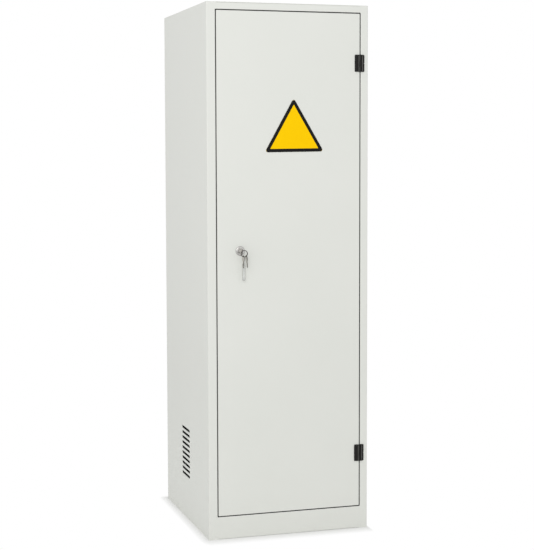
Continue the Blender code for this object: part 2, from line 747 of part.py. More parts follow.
def make_rod(name, side, tip, parent):
    """A flat locking rod. Its yoke has a level slot that the cam's pin pushes up or down."""
    x = LOCK_X + side * ROD_SIDE
    yoke = LOCK_Z - side * PIN_SIDE
    slot_half = (CAM_PIN_REACH - PIN_SIDE) / 2 + CAM_PIN_RADIUS + CAM_PIN_PLAY
    slot_radius = CAM_PIN_RADIUS + CAM_PIN_PLAY
    half = ROD_WIDTH / 2
    wide = slot_half + YOKE_WALL
    near = yoke - side * (slot_radius + YOKE_WALL)
    far = yoke + side * (slot_radius + YOKE_WALL)
    outline = [
        (x - wide, near),
        (x + wide, near),
        (x + wide, far),
        (x + half, far + side * YOKE_WALL),
        (x + half, tip),
        (x - half, tip),
        (x - half, far + side * YOKE_WALL),
        (x - wide, far),
    ]
    rod = piece(name, prism(outline, "Y", ROD_FRONT, ROD_BACK), ZINC_STEEL, parent)
    slot = slot_outline((x, yoke), slot_half, slot_radius)
    combine(rod, prism(slot, "Y", ROD_FRONT - SHEET, ROD_BACK + SHEET))


def make_guide(name, x, z, door_axis):
    """A block on the inside of the door skin with a slot that one rod slides through."""
    low = (x - GUIDE_WIDTH / 2, DOOR_INNER, z - GUIDE_HEIGHT / 2)
    high = (x + GUIDE_WIDTH / 2, ROD_BACK + SEAM + GUIDE_BACK, z + GUIDE_HEIGHT / 2)
    guide = piece(name, block(low, high), GREY_PLASTIC, door_axis)
    half = ROD_WIDTH / 2 + SEAM
    low = (x - half, ROD_FRONT - SEAM, z - GUIDE_HEIGHT)
    combine(guide, block(low, (x + half, ROD_BACK + SEAM, z + GUIDE_HEIGHT)))


def make_rods(door_axis):
    upper_tip = STOP_BOTTOM - ROD_TIP_CLEARANCE
    lower_tip = PLINTH + ROD_TIP_CLEARANCE
    for where, side, tip in (("upper", 1, upper_tip), ("lower", -1, lower_tip)):
        x = LOCK_X + side * ROD_SIDE
        slide = pivot(where + "_rod_slide", (x, ROD_FRONT, tip), door_axis)
        make_rod(where + "_rod", side, tip, slide)
        make_guide(where + "_tip_guide", x, tip - side * GUIDE_TIP_INSET, door_axis)
        make_guide(where + "_middle_guide", x, LOCK_Z + side * GUIDE_FROM_LOCK, door_axis)


def key_outline():
    """A key lying along its blade: the bow is a disc round the origin and the blade points along +a."""
    neck = BLADE_WIDTH / 2
    opening = math.degrees(math.asin(neck / BOW_RADIUS))
    outline = arc((0, 0), BOW_RADIUS, opening, 360 - opening, ROUND_SIDES)
    tip = BOW_RADIUS + NECK_LENGTH + SEAM + BLADE_LENGTH
    return outline + [(tip - neck / 2, -neck), (tip, -neck / 2), (tip, neck / 2), (tip - neck / 2, neck)]


def key_shape(bow_centre, lean, hanging):
    """A flat key in the YZ plane. A hanging key points down and leans sideways by an angle."""
    shape = prism(key_outline(), "X", -KEY_THICKNESS / 2, KEY_THICKNESS / 2)
    eye = prism(circle((-EYE_OFFSET, 0), EYE_RADIUS, FINE_SIDES), "X", -KEY_THICKNESS, KEY_THICKNESS)
    turn = Matrix.Identity(4)
    if hanging:
        turn = Matrix.Rotation(math.radians(-lean), 4, "Y") @ Matrix.Rotation(math.radians(-90), 4, "X")
    move = Matrix.Translation(bow_centre) @ turn
    for part in (shape, eye):
        bmesh.ops.transform(part, matrix=move, verts=part.verts)
    return shape, eye


def ring_point(angle):
    turn = math.radians(angle)
    return Vector((RING_X + RING_RADIUS * math.cos(turn), EYE_Y, RING_Z + RING_RADIUS * math.sin(turn)))


def make_keys(lock_axis):
    key_slide = pivot("key_slide", (LOCK_X, PLUG_FACE, LOCK_Z), lock_axis)
    shape, eye = key_shape(Vector((LOCK_X, BOW_Y, LOCK_Z)), 0, False)
    key = piece("key", shape, BRIGHT_STEEL, key_slide)
    combine(key, eye)

    ring_turn = pivot("ring_turn", (LOCK_X, EYE_Y, LOCK_Z), key_slide)
    wire = circle((RING_RADIUS, 0), RING_WIRE, 8)
    profile = [(radius, EYE_Y + level) for radius, level in wire]
    ring = turned(profile, (RING_X, RING_Z), "Y", closed=True, sides=32)
    piece("key_ring", ring, BRIGHT_STEEL, ring_turn)

    swing = pivot("spare_swing", ring_point(-90), ring_turn)
    for name, angle, lean in (
        ("spare_key", SPARE_KEY_TURN, SPARE_KEY_LEAN),
        ("second_key", SECOND_KEY_TURN, 0.0),
    ):
        tilt = math.radians(lean)
        down = Vector((math.sin(tilt), 0, -math.cos(tilt)))
        shape, eye = key_shape(ring_point(angle) + down * (EYE_OFFSET + KEY_SAG), lean, True)
        hanging = piece(name, shape, BRIGHT_STEEL, swing)
        combine(hanging, eye)
    make_tag(swing)


def make_tag(swing):
    """A pale strip that hangs behind the keys, on a narrow neck with an eye round the ring."""
    top = ring_point(TAG_TURN)
    eye_radius = RING_WIRE + SEAM + TAG_EYE_WALL
    shoulder = (top.y + TAG_SETBACK, top.z - TAG_DROP)
    half = TAG_THICKNESS / 2
    section = [
        (top.y - half, top.z),
        (shoulder[0] - half, shoulder[1]),
        (shoulder[0] - half, shoulder[1] - TAG_LENGTH),
        (shoulder[0] + half, shoulder[1] - TAG_LENGTH),
        (shoulder[0] + half, shoulder[1]),
        (top.y + half, top.z),
    ]
    neck = TAG_NECK_WIDTH / 2
    tag = piece("key_tag", prism(section, "X", top.x - neck, top.x + neck), PALE_PLASTIC, swing)
    low = (top.x - TAG_WIDTH / 2, shoulder[0] - half, shoulder[1] - TAG_LENGTH)
    high = (top.x + TAG_WIDTH / 2, shoulder[0] + half, shoulder[1] - TAG_THICKNESS)
    combine(tag, block(low, high), "UNION")
    collar = circle((top.y, top.z), eye_radius, FINE_SIDES)
    combine(tag, prism(collar, "X", top.x - neck, top.x + neck), "UNION")
    hole = prism(circle((0, 0), RING_WIRE + SEAM, FINE_SIDES), "X", -2 * neck, 2 * neck)
    lean = Matrix.Rotation(-math.radians(TAG_TURN + 90), 4, "Y")
    bmesh.ops.transform(hole, matrix=Matrix.Translation(top) @ lean, verts=hole.verts)
    combine(tag, hole)


def main():
    clear_scene()
    make_side_panels()
    make_back_and_top()
    make_cross_members()
    make_floor()
    make_cylinder_holder()
    make_buffers()
    door_axis = pivot("door_axis", (HINGE_X, HINGE_Y, 0))
    lock_axis = pivot("lock_axis", (LOCK_X, FRONT, LOCK_Z), door_axis)
    make_door(door_axis)
    make_hinges(door_axis)
    make_sign(door_axis)
    make_lock(door_axis, lock_axis)
    make_rods(door_axis)
    make_keys(lock_axis)


main()
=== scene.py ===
# %% [markdown]
# # Dressing a gas cylinder cabinet
# The cabinet is folded from 1.5 mm sheet steel, welded and powder coated light grey. One flush door hangs
# on two black cast hinges and shuts with a key lock that drives two rods. The solid model already holds
# the true sizes, so this lesson loads it as a fixed frame and gives every surface its finish and its fine
# shape.

# %% Load the frame
import json
import math

import bmesh
import bpy
from mathutils import Matrix, Vector

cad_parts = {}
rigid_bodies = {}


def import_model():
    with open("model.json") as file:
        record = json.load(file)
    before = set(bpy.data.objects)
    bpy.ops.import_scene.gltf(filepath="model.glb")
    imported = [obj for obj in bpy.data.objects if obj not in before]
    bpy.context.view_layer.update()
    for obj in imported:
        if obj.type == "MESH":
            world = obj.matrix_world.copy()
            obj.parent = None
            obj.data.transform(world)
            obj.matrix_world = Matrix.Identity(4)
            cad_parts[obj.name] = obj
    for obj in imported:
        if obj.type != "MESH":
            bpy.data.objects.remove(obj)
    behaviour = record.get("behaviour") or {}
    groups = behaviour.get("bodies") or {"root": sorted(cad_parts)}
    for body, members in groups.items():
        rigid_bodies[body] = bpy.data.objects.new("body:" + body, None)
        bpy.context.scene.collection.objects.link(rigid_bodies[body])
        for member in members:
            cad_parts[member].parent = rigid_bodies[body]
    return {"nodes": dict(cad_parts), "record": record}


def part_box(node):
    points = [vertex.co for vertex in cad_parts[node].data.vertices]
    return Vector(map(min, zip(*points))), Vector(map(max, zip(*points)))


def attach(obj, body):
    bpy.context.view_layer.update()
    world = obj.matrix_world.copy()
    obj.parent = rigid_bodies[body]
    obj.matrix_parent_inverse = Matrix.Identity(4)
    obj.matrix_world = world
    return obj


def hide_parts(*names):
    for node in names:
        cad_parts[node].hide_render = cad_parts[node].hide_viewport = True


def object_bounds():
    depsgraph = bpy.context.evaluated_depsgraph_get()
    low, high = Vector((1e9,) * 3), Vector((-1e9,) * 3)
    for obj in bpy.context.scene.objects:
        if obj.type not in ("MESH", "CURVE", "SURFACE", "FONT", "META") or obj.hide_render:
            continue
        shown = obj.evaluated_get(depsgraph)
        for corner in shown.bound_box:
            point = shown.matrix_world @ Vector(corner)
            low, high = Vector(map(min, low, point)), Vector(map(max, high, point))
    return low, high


for leftover in list(bpy.data.objects):
    bpy.data.objects.remove(leftover)
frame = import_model()
nodes = frame["nodes"]
cad_low, cad_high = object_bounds()
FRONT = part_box("door_panel")[0].y

# %% [markdown]
# ## Camera
# The picture was taken with a long lens, from the left of the cabinet and above its middle. Such a view can
# be set by eye, but here the corners of the cabinet were measured in the picture and the camera was solved
# from them, so it is written as a place, three angles and a focal length in picture pixels. The small shift
# straightens the uprights a little, as a sliding lens does.

# %% Camera
PICTURE_HEIGHT = 550
FOCAL_PIXELS = 1399.3
SHIFT_PIXELS = 20.0
SENSOR_HEIGHT = 36.0
CAMERA_PLACE = Vector((-1.5328, -5.0645, 1.3779))
CAMERA_YAW = math.radians(-17.022)
CAMERA_PITCH = math.radians(4.208)
CAMERA_ROLL = math.radians(-0.161)


def camera_turn(yaw, pitch, roll):
    """Turns a camera that looks along +Y by yaw, tips it down by pitch and rolls it."""
    upright = Matrix.Rotation(math.radians(90), 3, "X")
    level = upright @ Matrix.Rotation(roll, 3, "Z")
    return Matrix.Rotation(yaw, 3, "Z") @ Matrix.Rotation(-pitch, 3, "X") @ level


lens = bpy.data.cameras.new("studio_camera")
lens.sensor_fit = "VERTICAL"
lens.sensor_height = SENSOR_HEIGHT
lens.lens = FOCAL_PIXELS / PICTURE_HEIGHT * SENSOR_HEIGHT
lens.shift_y = -SHIFT_PIXELS / PICTURE_HEIGHT
camera = bpy.data.objects.new("studio_camera", lens)
turn = camera_turn(CAMERA_YAW, CAMERA_PITCH, CAMERA_ROLL)
camera.matrix_world = Matrix.Translation(CAMERA_PLACE) @ turn.to_4x4()
bpy.context.scene.collection.objects.link(camera)
bpy.context.scene.camera = camera
print("camera: lens", round(lens.lens, 2), "mm")

# %% [markdown]
# ## Node helpers
# Every finish below is a small tree of shader nodes. Adding nodes and links one by one makes long, dull
# code, so a helper adds a node with its settings and inputs, where an input may be a plain value or the
# socket that feeds it. The others wrap the few nodes that come back all the time.

# %% Node helpers
def add_node(tree, kind, inputs=None, **settings):
    node = tree.nodes.new("ShaderNode" + kind)
    for name, value in settings.items():
        setattr(node, name, value)
    for name, value in (inputs or {}).items():
        if isinstance(value, bpy.types.NodeSocket):
            tree.links.new(value, node.inputs[name])
        else:
            node.inputs[name].default_value = value
    return node


def object_place(tree):
    return add_node(tree, "TexCoord").outputs["Object"]


def noise(tree, place, scale, detail=2.0):
    return add_node(tree, "TexNoise", {"Vector": place, "Scale": scale, "Detail": detail}).outputs[0]


def reckon(tree, operation, *terms):
    return add_node(tree, "Math", dict(enumerate(terms)), operation=operation).outputs[0]


def reckon_vector(tree, operation, *terms):
    node = add_node(tree, "VectorMath", dict(enumerate(terms)), operation=operation)
    return node.outputs["Value" if operation == "LENGTH" else "Vector"]


def remap(tree, value, low=0.0, high=1.0, to_low=0.0, to_high=1.0):
    """Stretches the values from low to high onto another range and holds the rest at its ends."""
    ends = {"Value": value, "From Min": low, "From Max": high, "To Min": to_low, "To Max": to_high}
    return add_node(tree, "MapRange", ends).outputs[0]


def blend(tree, mask, first, second):
    return add_node(tree, "MixRGB", {0: mask, 1: first, 2: second}).outputs[0]


print("node helpers ready")

# %% [markdown]
# ## Material helpers
# A finish on a real surface is never one flat value. Its colour, its gloss and its relief all change a
# little from place to place. Those three could be wired anew in every material. Here each has a helper that
# takes a mask and feeds the right socket of the Principled shader.

# %% Material helpers
def srgb(red, green, blue):
    """A colour as a picture editor shows it, 0 to 255, turned into the linear colour that shaders use."""
    linear = []
    for level in (red, green, blue):
        share = level / 255
        linear.append(share / 12.92 if share <= 0.04045 else ((share + 0.055) / 1.055) ** 2.4)
    return (*linear, 1.0)


def start_material(name, **plain):
    """A material with one Principled shader. Plain values are set on the shader's own sockets."""
    material = bpy.data.materials.new(name)
    material.use_nodes = True
    shader = material.node_tree.nodes["Principled BSDF"]
    for label, value in plain.items():
        shader.inputs[label.replace("_", " ")].default_value = value
    return material, material.node_tree, shader


def two_tones(tree, shader, mask, first, second):
    tree.links.new(blend(tree, mask, first, second), shader.inputs["Base Color"])


def roughness_range(tree, shader, mask, first, second):
    tree.links.new(remap(tree, mask, to_low=first, to_high=second), shader.inputs["Roughness"])


def add_bump(tree, shader, height, strength, distance):
    bump = add_node(tree, "Bump", {"Height": height, "Strength": strength, "Distance": distance})
    tree.links.new(bump.outputs["Normal"], shader.inputs["Normal"])


print("material helpers ready, mid grey is", [round(level, 3) for level in srgb(128, 128, 128)])

# %% [markdown]
# ## White studio
# The cabinet stands in a white studio. A backdrop could be painted, but white light from all round does the
# same. The world is plain white to the camera and to mirror-like metal, and a softer grey to everything
# else, so that it lights the cabinet at a plain level.

# %% World
WHITE = (1.0, 1.0, 1.0, 1.0)
AMBIENT = 0.74


def seen_directly(tree):
    """1 for rays that show a thing to the camera, straight or by way of metal or clear plastic."""
    rays = add_node(tree, "LightPath").outputs
    mirrored = reckon(tree, "MAXIMUM", rays["Is Camera Ray"], rays["Is Glossy Ray"])
    return reckon(tree, "MAXIMUM", mirrored, rays["Is Transmission Ray"])


world = bpy.data.worlds.new("white_studio")
world.use_nodes = True
bpy.context.scene.world = world
world.node_tree.nodes.clear()
level = remap(world.node_tree, seen_directly(world.node_tree), to_low=AMBIENT)
light = add_node(world.node_tree, "Background", {"Color": WHITE, "Strength": level})
add_node(world.node_tree, "OutputWorld", {"Surface": light.outputs[0]})
bpy.context.scene.view_settings.view_transform = "Standard"
print("world: ambient level", AMBIENT)

# %% [markdown]
# ## Floor
# The floor is white paper. A plane that is white all over would swallow the shadow that ties the cabinet to
# the ground, and a grey one would draw a horizon. So the paper keeps its own tone and its shadow close to
# the foot, and further out it fades into the white that the world shows. The soft shadow reaches furthest
# at the front, so each side has its own reach.

# %% Floor
FLOOR_RADIUS = 4.0
FLOOR_SIDES = 96
LEFT_SHADOW = 0.034
FRONT_SHADOW = 0.070
RIGHT_SHADOW = 0.008
BACK_SHADOW = 0.032
foot = Vector((cad_high.x, cad_high.y, 0.0))


def past_foot(tree, place, edge, reach_x, reach_y):
    """How far a spot lies past two edges of the foot, as a share of the shadow's reach on those sides."""
    past = reckon_vector(tree, "SUBTRACT", place, edge)
    share = reckon_vector(tree, "MULTIPLY", past, (1 / reach_x, 1 / reach_y, 0))
    return reckon_vector(tree, "MAXIMUM", share, (0, 0, 0))


def make_white_paper():
    material, tree, shader = start_material("white_paper", Roughness=0.9)
    place = object_place(tree)
    fibre = noise(tree, place, scale=90.0, detail=4.0)
    two_tones(tree, shader, fibre, srgb(232, 232, 231), srgb(238, 238, 237))
    high = past_foot(tree, place, foot, RIGHT_SHADOW, BACK_SHADOW)
    low = past_foot(tree, place, -foot, -LEFT_SHADOW, -FRONT_SHADOW)
    away = reckon_vector(tree, "LENGTH", reckon_vector(tree, "ADD", high, low))
    bare = reckon(tree, "MULTIPLY", remap(tree, away), seen_directly(tree))
    white = add_node(tree, "Emission", {"Color": WHITE, "Strength": 1.0})
    mix = add_node(tree, "MixShader", {0: bare, 1: shader.outputs[0], 2: white.outputs[0]})
    tree.links.new(mix.outputs[0], tree.nodes["Material Output"].inputs["Surface"])
    return material


def make_floor():
    shape = bmesh.new()
    bmesh.ops.create_circle(shape, cap_ends=True, segments=FLOOR_SIDES, radius=FLOOR_RADIUS)
    mesh = bpy.data.meshes.new("studio_floor")
    shape.to_mesh(mesh)
    shape.free()
    mesh.materials.append(make_white_paper())
    floor = bpy.data.objects.new("studio_floor", mesh)
    bpy.context.scene.collection.objects.link(floor)


make_floor()
print("floor: radius", FLOOR_RADIUS, "m")

# %% [markdown]
# ## Lamps
# Sheet metal shows its folds only if the light has a direction. Sun lamps would do that with hard edges,
# so large area lamps are used as a studio uses soft boxes: one high in front, and a weaker one on the left.
# Each line of the table gives a name, a place, the side of the square box and its power in watts.

# %% Lamps
LAMP_TARGET = Vector((0.0, 0.0, 1.0))
SOFT_BOXES = (
    ("front_soft_box", Vector((-1.7, -4.4, 2.7)), 2.6, 73.0),
    ("left_soft_box", Vector((-3.6, -0.4, 2.4)), 1.8, 9.0),
)

for name, place, size, power in SOFT_BOXES:
    lamp = bpy.data.lights.new(name, "AREA")
    lamp.shape = "SQUARE"
    lamp.size = size
    lamp.energy = power
    soft_box = bpy.data.objects.new(name, lamp)
    soft_box.location = place
    soft_box.rotation_euler = (LAMP_TARGET - place).to_track_quat("-Z", "Y").to_euler()
    bpy.context.scene.collection.objects.link(soft_box)
print("lamps:", [name for name, *_ in SOFT_BOXES])

# %% [markdown]
# ## Baked powder
# Most of the cabinet wears a powder coat. The powder melts in an oven and sets with a pebbled skin, and its
# tone drifts slowly over a large sheet. Castings and mouldings have a fine skin of the same kind. Copying
# the nodes into every material would work, but a node group with named inputs is built once and tuned
# where it is placed.

# %% Baked powder
WAVE_SCALE = 7.0
WAVE_HEIGHT = 4.0


def start_group(name, inputs, outputs):
    group = bpy.data.node_groups.new(name, "ShaderNodeTree")
    for label, value in inputs.items():
        socket = group.interface.new_socket(label, in_out="INPUT", socket_type="NodeSocketFloat")
        socket.default_value = value
    for label in outputs:
        group.interface.new_socket(label, in_out="OUTPUT", socket_type="NodeSocketFloat")
    return group, group.nodes.new("NodeGroupInput"), group.nodes.new("NodeGroupOutput")


def make_baked_powder():
    """Height of the pebbled skin, and a slow cloud that shifts the tone over a sheet."""
    group, source, sink = start_group("baked_powder", {"Pebbles": 620.0, "Clouds": 2.6}, ("Height", "Cloud"))
    place = object_place(group)
    pebbles = noise(group, place, source.outputs["Pebbles"], detail=1.5)
    waves = noise(group, place, WAVE_SCALE, detail=1.0)
    height = reckon(group, "MULTIPLY_ADD", waves, WAVE_HEIGHT, pebbles)
    cloud = noise(group, place, source.outputs["Clouds"], detail=3.0)
    group.links.new(height, sink.inputs["Height"])
    group.links.new(cloud, sink.inputs["Cloud"])
    return group


BAKED_POWDER = make_baked_powder()
print("effect group:", BAKED_POWDER.name, "with", len(BAKED_POWDER.nodes), "nodes")

# %% [markdown]
# ## Floor dust
# A cabinet that stands on a floor gathers dust near its foot. It could be painted on by hand, but height
# above the floor says where it lies, and a fine noise breaks it up into specks. This group gives a mask
# only, so that each finish can choose the colour and the strength of its dust.

# %% Floor dust
def make_floor_dust():
    """A mask that is strongest at floor level and breaks up into specks higher up."""
    group, source, sink = start_group("floor_dust", {"Reach": 0.16, "Specks": 160.0}, ("Mask",))
    place = object_place(group)
    level = add_node(group, "SeparateXYZ", {0: place}).outputs["Z"]
    fall = remap(group, level, source.outputs["Reach"], 0.0)
    specks = noise(group, place, source.outputs["Specks"], detail=6.0)
    group.links.new(reckon(group, "MULTIPLY", fall, specks), sink.inputs["Mask"])
    return group


FLOOR_DUST = make_floor_dust()
print("effect group:", FLOOR_DUST.name, "with", len(FLOOR_DUST.nodes), "nodes")

# %% [markdown]
# ## Rub marks
# Bare and plated metal carries fine marks from polishing and from use. A picture of scratches would repeat
# and blur close up. A noise that is stretched along one axis and sharpened gives thin lines at any
# distance, and its plain value serves as their relief.

# %% Rub marks
LINE_FROM = 0.45
LINE_TO = 0.75


def make_rub_marks():
    """Fine scratches: a noise stretched along one axis, sharpened into thin lines."""
    group, source, sink = start_group("rub_marks", {"Fineness": 900.0, "Stretch": 0.06}, ("Mask", "Height"))
    stretch = add_node(group, "CombineXYZ", {"X": 1.0, "Y": 1.0, "Z": source.outputs["Stretch"]})
    pulled = reckon_vector(group, "MULTIPLY", object_place(group), stretch.outputs[0])
    grain = noise(group, pulled, source.outputs["Fineness"], detail=5.0)
    group.links.new(remap(group, grain, LINE_FROM, LINE_TO), sink.inputs["Mask"])
    group.links.new(grain, sink.inputs["Height"])
    return group


RUB_MARKS = make_rub_marks()
print("effect group:", RUB_MARKS.name, "with", len(RUB_MARKS.nodes), "nodes")

# %% [markdown]
# ## Grey powder coat
# The sheet steel is coated a light, slightly green grey with a satin gloss. One grey would look like a toy,
# so the coat drifts between two close tones, its gloss follows the same cloud, the pebbled skin gives a
# faint relief and a trace of dust lies near the floor.

# %% Grey powder coat
DUST_SHARE = 0.10
finishes = {}


def place_group(tree, group, **values):
    """Puts a group into a material with its own values, and gives back the group's outputs."""
    node = tree.nodes.new("ShaderNodeGroup")
    node.node_tree = group
    for label, value in values.items():
        node.inputs[label].default_value = value
    return node.outputs


def make_grey_coat():
    material, tree, shader = start_material("grey_coat", Specular_IOR_Level=0.4)
    powder = place_group(tree, BAKED_POWDER)
    dust = place_group(tree, FLOOR_DUST)
    coat = blend(tree, powder["Cloud"], srgb(218, 220, 214), srgb(224, 225, 220))
    speckled = reckon(tree, "MULTIPLY", dust["Mask"], DUST_SHARE)
    two_tones(tree, shader, speckled, coat, srgb(186, 182, 172))
    roughness_range(tree, shader, powder["Cloud"], 0.40, 0.52)
    add_bump(tree, shader, powder["Height"], strength=0.12, distance=0.00012)
    return material


finishes["grey_coat"] = make_grey_coat()
print("finish: grey_coat")

# %% [markdown]
# ## Black castings
# The hinges are castings with a black coat. Along the raised ridges the colour is painted lighter as a
# painted highlight, and the gloss is smoother there. The painted highlight could be drawn into a mask, but
# the ridges are simply what stands furthest from the door, so the distance from the door's face finds them,
# and a cloud makes the painted highlight uneven.

# %% Black castings
HIGHLIGHT_STARTS = 0.0060
HIGHLIGHT_FULL = 0.0076


def make_black_cast():
    material, tree, shader = start_material("black_cast", Specular_IOR_Level=0.25)
    powder = place_group(tree, BAKED_POWDER, Pebbles=1500.0, Clouds=40.0)
    depth = add_node(tree, "SeparateXYZ", {0: object_place(tree)}).outputs["Y"]
    ridge = remap(tree, depth, FRONT - HIGHLIGHT_STARTS, FRONT - HIGHLIGHT_FULL)
    worn = reckon(tree, "MULTIPLY", ridge, powder["Cloud"])
    # The lighter tone on the ridges is a painted highlight, made uneven by the cloud.
    two_tones(tree, shader, worn, srgb(15, 15, 13), srgb(104, 104, 100))
    roughness_range(tree, shader, ridge, 0.50, 0.34)
    add_bump(tree, shader, powder["Height"], strength=0.2, distance=0.0001)
    return material


finishes["black_cast"] = make_black_cast()
print("finish: black_cast")

# %% [markdown]
# ## Plated metals
# The keys and the ring are nickel plated, and what works inside the door is zinc plated. The nickel comes in
# lit and shaded copies: a bright one that is a painted highlight, and dark ones that are painted shade. They
# differ only in tone, gloss and the fineness of their rub marks, so one function makes them all. Each line
# of the table gives the dull tone, the bright tone, the two ends of the roughness and the fineness.

# %% Plated metals
PLATED_METALS = {
    "bright_steel": (srgb(130, 129, 126), srgb(174, 172, 169), 0.30, 0.44, 2600.0),
    # The three nickel lines are painted light: a bright copy for highlights and two dark copies for shade.
    "highlit_nickel": (srgb(176, 172, 167), srgb(218, 214, 208), 0.12, 0.24, 1400.0),
    "shaded_nickel": (srgb(44, 42, 40), srgb(82, 79, 75), 0.22, 0.40, 1400.0),
    "shaded_ring_nickel": (srgb(34, 30, 29), srgb(66, 60, 58), 0.20, 0.36, 1400.0),
    "zinc_steel": (srgb(160, 163, 166), srgb(196, 199, 202), 0.28, 0.45, 700.0),
}


def make_plated(name, dull, bright, smooth, rough, fineness):
    material, tree, shader = start_material(name, Metallic=1.0)
    marks = place_group(tree, RUB_MARKS, Fineness=fineness)
    two_tones(tree, shader, marks["Mask"], bright, dull)
    roughness_range(tree, shader, marks["Mask"], smooth, rough)
    add_bump(tree, shader, marks["Height"], strength=0.08, distance=0.00005)
    return material


for name, values in PLATED_METALS.items():
    finishes[name] = make_plated(name, *values)
print("finishes:", list(PLATED_METALS))

# %% [markdown]
# ## Turned steel
# The lock's collar and plug are turned on a lathe, so the tool leaves fine rings round the axis. A picture
# of brushed steel would run straight across them. Here a noise is read along one number only, the distance
# from the lock's axis, which gives rings. The same distance makes the tone darker towards the outer rim, and
# finds the groove round the plug, where painted shade lies in patches.

# %% Turned steel
RING_FINENESS = 2400.0
RIM_DARK_FROM = 0.70
GROOVE_RADIUS = 0.0072
GROOVE_SHADE_HALF = 0.0011
GROOVE_SHADE_CORE = 0.2 * GROOVE_SHADE_HALF
PATCH_SCALE = 260.0
PATCH_FROM = 0.35
PATCH_TO = 0.60


def node_middle(node):
    low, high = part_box(node)
    return (low + high) / 2


def half_width(node):
    low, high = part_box(node)
    return (high.x - low.x) / 2


def make_turned_steel():
    material, tree, shader = start_material("turned_steel", Metallic=1.0)
    collar = half_width("lock_housing")
    place = object_place(tree)
    arm = reckon_vector(tree, "SUBTRACT", place, node_middle("lock_housing"))
    reach = reckon_vector(tree, "LENGTH", reckon_vector(tree, "MULTIPLY", arm, (1, 0, 1)))
    reading = {"W": reach, "Scale": RING_FINENESS, "Detail": 3.0}
    rings = add_node(tree, "TexNoise", reading, noise_dimensions="1D").outputs[0]
    face = blend(tree, rings, srgb(196, 195, 192), srgb(232, 231, 228))
    metal = blend(tree, remap(tree, reach, RIM_DARK_FROM * collar, collar), face, srgb(168, 166, 163))
    # Painted shade in the groove round the plug, broken into patches.
    groove = reckon(tree, "ABSOLUTE", reckon(tree, "SUBTRACT", reach, GROOVE_RADIUS))
    groove_shade = remap(tree, groove, GROOVE_SHADE_HALF, GROOVE_SHADE_CORE)
    patches = remap(tree, noise(tree, place, PATCH_SCALE), PATCH_FROM, PATCH_TO)
    painted_groove_shade = reckon(tree, "MULTIPLY", groove_shade, patches)
    two_tones(tree, shader, painted_groove_shade, metal, srgb(58, 53, 51))
    roughness_range(tree, shader, rings, 0.20, 0.34)
    add_bump(tree, shader, rings, strength=0.08, distance=0.00004)
    return material


finishes["turned_steel"] = make_turned_steel()
print("finish: turned_steel, collar radius", round(half_width("lock_housing"), 4), "m")

# %% [markdown]
# ## Mouldings and print
# Rubber buffers, nylon guides and the printed sign have no grain, only a fine moulded skin and a slight
# drift of tone and gloss. One function makes them from a table: the two tones, the two ends of the
# roughness and the strength of the mirror-like part, which is low for matt print.

# %% Mouldings and print
FINE_SKIN = {"Pebbles": 2400.0, "Clouds": 60.0}
MOULDINGS = {
    # This black rubber is darker than real rubber, so that the strip in the door gap reads as deep shade.
    "black_rubber": (srgb(15, 15, 15), srgb(23, 23, 22), 0.75, 0.90, 0.5),
    "grey_plastic": (srgb(112, 113, 113), srgb(122, 123, 123), 0.45, 0.60, 0.5),
    "pale_plastic": (srgb(228, 230, 227), srgb(236, 238, 235), 0.20, 0.30, 0.5),
    "sign_yellow": (srgb(247, 198, 0), srgb(250, 203, 0), 0.55, 0.65, 0.05),
    "sign_black": (srgb(8, 8, 8), srgb(14, 14, 13), 0.45, 0.55, 0.15),
}


def make_moulded(name, first, second, smooth, rough, mirror):
    material, tree, shader = start_material(name, Specular_IOR_Level=mirror)
    skin = place_group(tree, BAKED_POWDER, **FINE_SKIN)
    two_tones(tree, shader, skin["Cloud"], first, second)
    roughness_range(tree, shader, skin["Cloud"], smooth, rough)
    add_bump(tree, shader, skin["Height"], strength=0.15, distance=0.00006)
    return material


for name, values in MOULDINGS.items():
    finishes[name] = make_moulded(name, *values)
print("finishes:", list(MOULDINGS))

# %% [markdown]
# ## Clear plastic
# The tag on the key ring is a thin clear strip, so the door shows through it. Glass nodes would bend the
# light as a thick block does. A thin film does not bend what lies behind it, so the finish is partly
# see-through, and a mask along the sides and the lower end closes it up and paints it grey. That grey rim is
# painted shade, standing in for the light that the edges of clear plastic bend away.

# %% Clear plastic
FILM_ALPHA = 0.34
RIM_ALPHA = 0.86
RIM_STARTS = 0.70
RIM_FULL = 0.92
END_RIM = 0.005


def make_clear_plastic():
    material, tree, shader = start_material("clear_plastic", Specular_IOR_Level=0.3)
    axes = add_node(tree, "SeparateXYZ", {0: object_place(tree)}).outputs
    across = reckon(tree, "SUBTRACT", axes["X"], node_middle("key_tag").x)
    half = half_width("key_tag")
    side = remap(tree, reckon(tree, "ABSOLUTE", across), RIM_STARTS * half, RIM_FULL * half)
    foot_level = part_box("key_tag")[0].z
    rim = reckon(tree, "MAXIMUM", side, remap(tree, axes["Z"], foot_level + END_RIM, foot_level))
    # The grey rim is painted shade for the light bent away at the strip's edges.
    two_tones(tree, shader, rim, srgb(214, 216, 213), srgb(164, 166, 162))
    alpha = remap(tree, rim, to_low=FILM_ALPHA, to_high=RIM_ALPHA)
    tree.links.new(alpha, shader.inputs["Alpha"])
    skin = place_group(tree, BAKED_POWDER, **FINE_SKIN)
    roughness_range(tree, shader, skin["Cloud"], 0.12, 0.24)
    return material


finishes["clear_plastic"] = make_clear_plastic()
print("finish: clear_plastic")

# %% [markdown]
# ## Wire gauze
# Black wire gauze lies behind the ventilation slots, and its near-black tone stands in for the shade inside
# the cabinet. Its threads run in two directions with small open squares between them. Real wires would be
# far too many, so a sine wave along each direction tells thread from hole, and the holes are see-through.

# %% Wire gauze
GAUZE_PITCH = 0.0013
THREAD_STARTS = -0.3
THREAD_FULL = 0.1


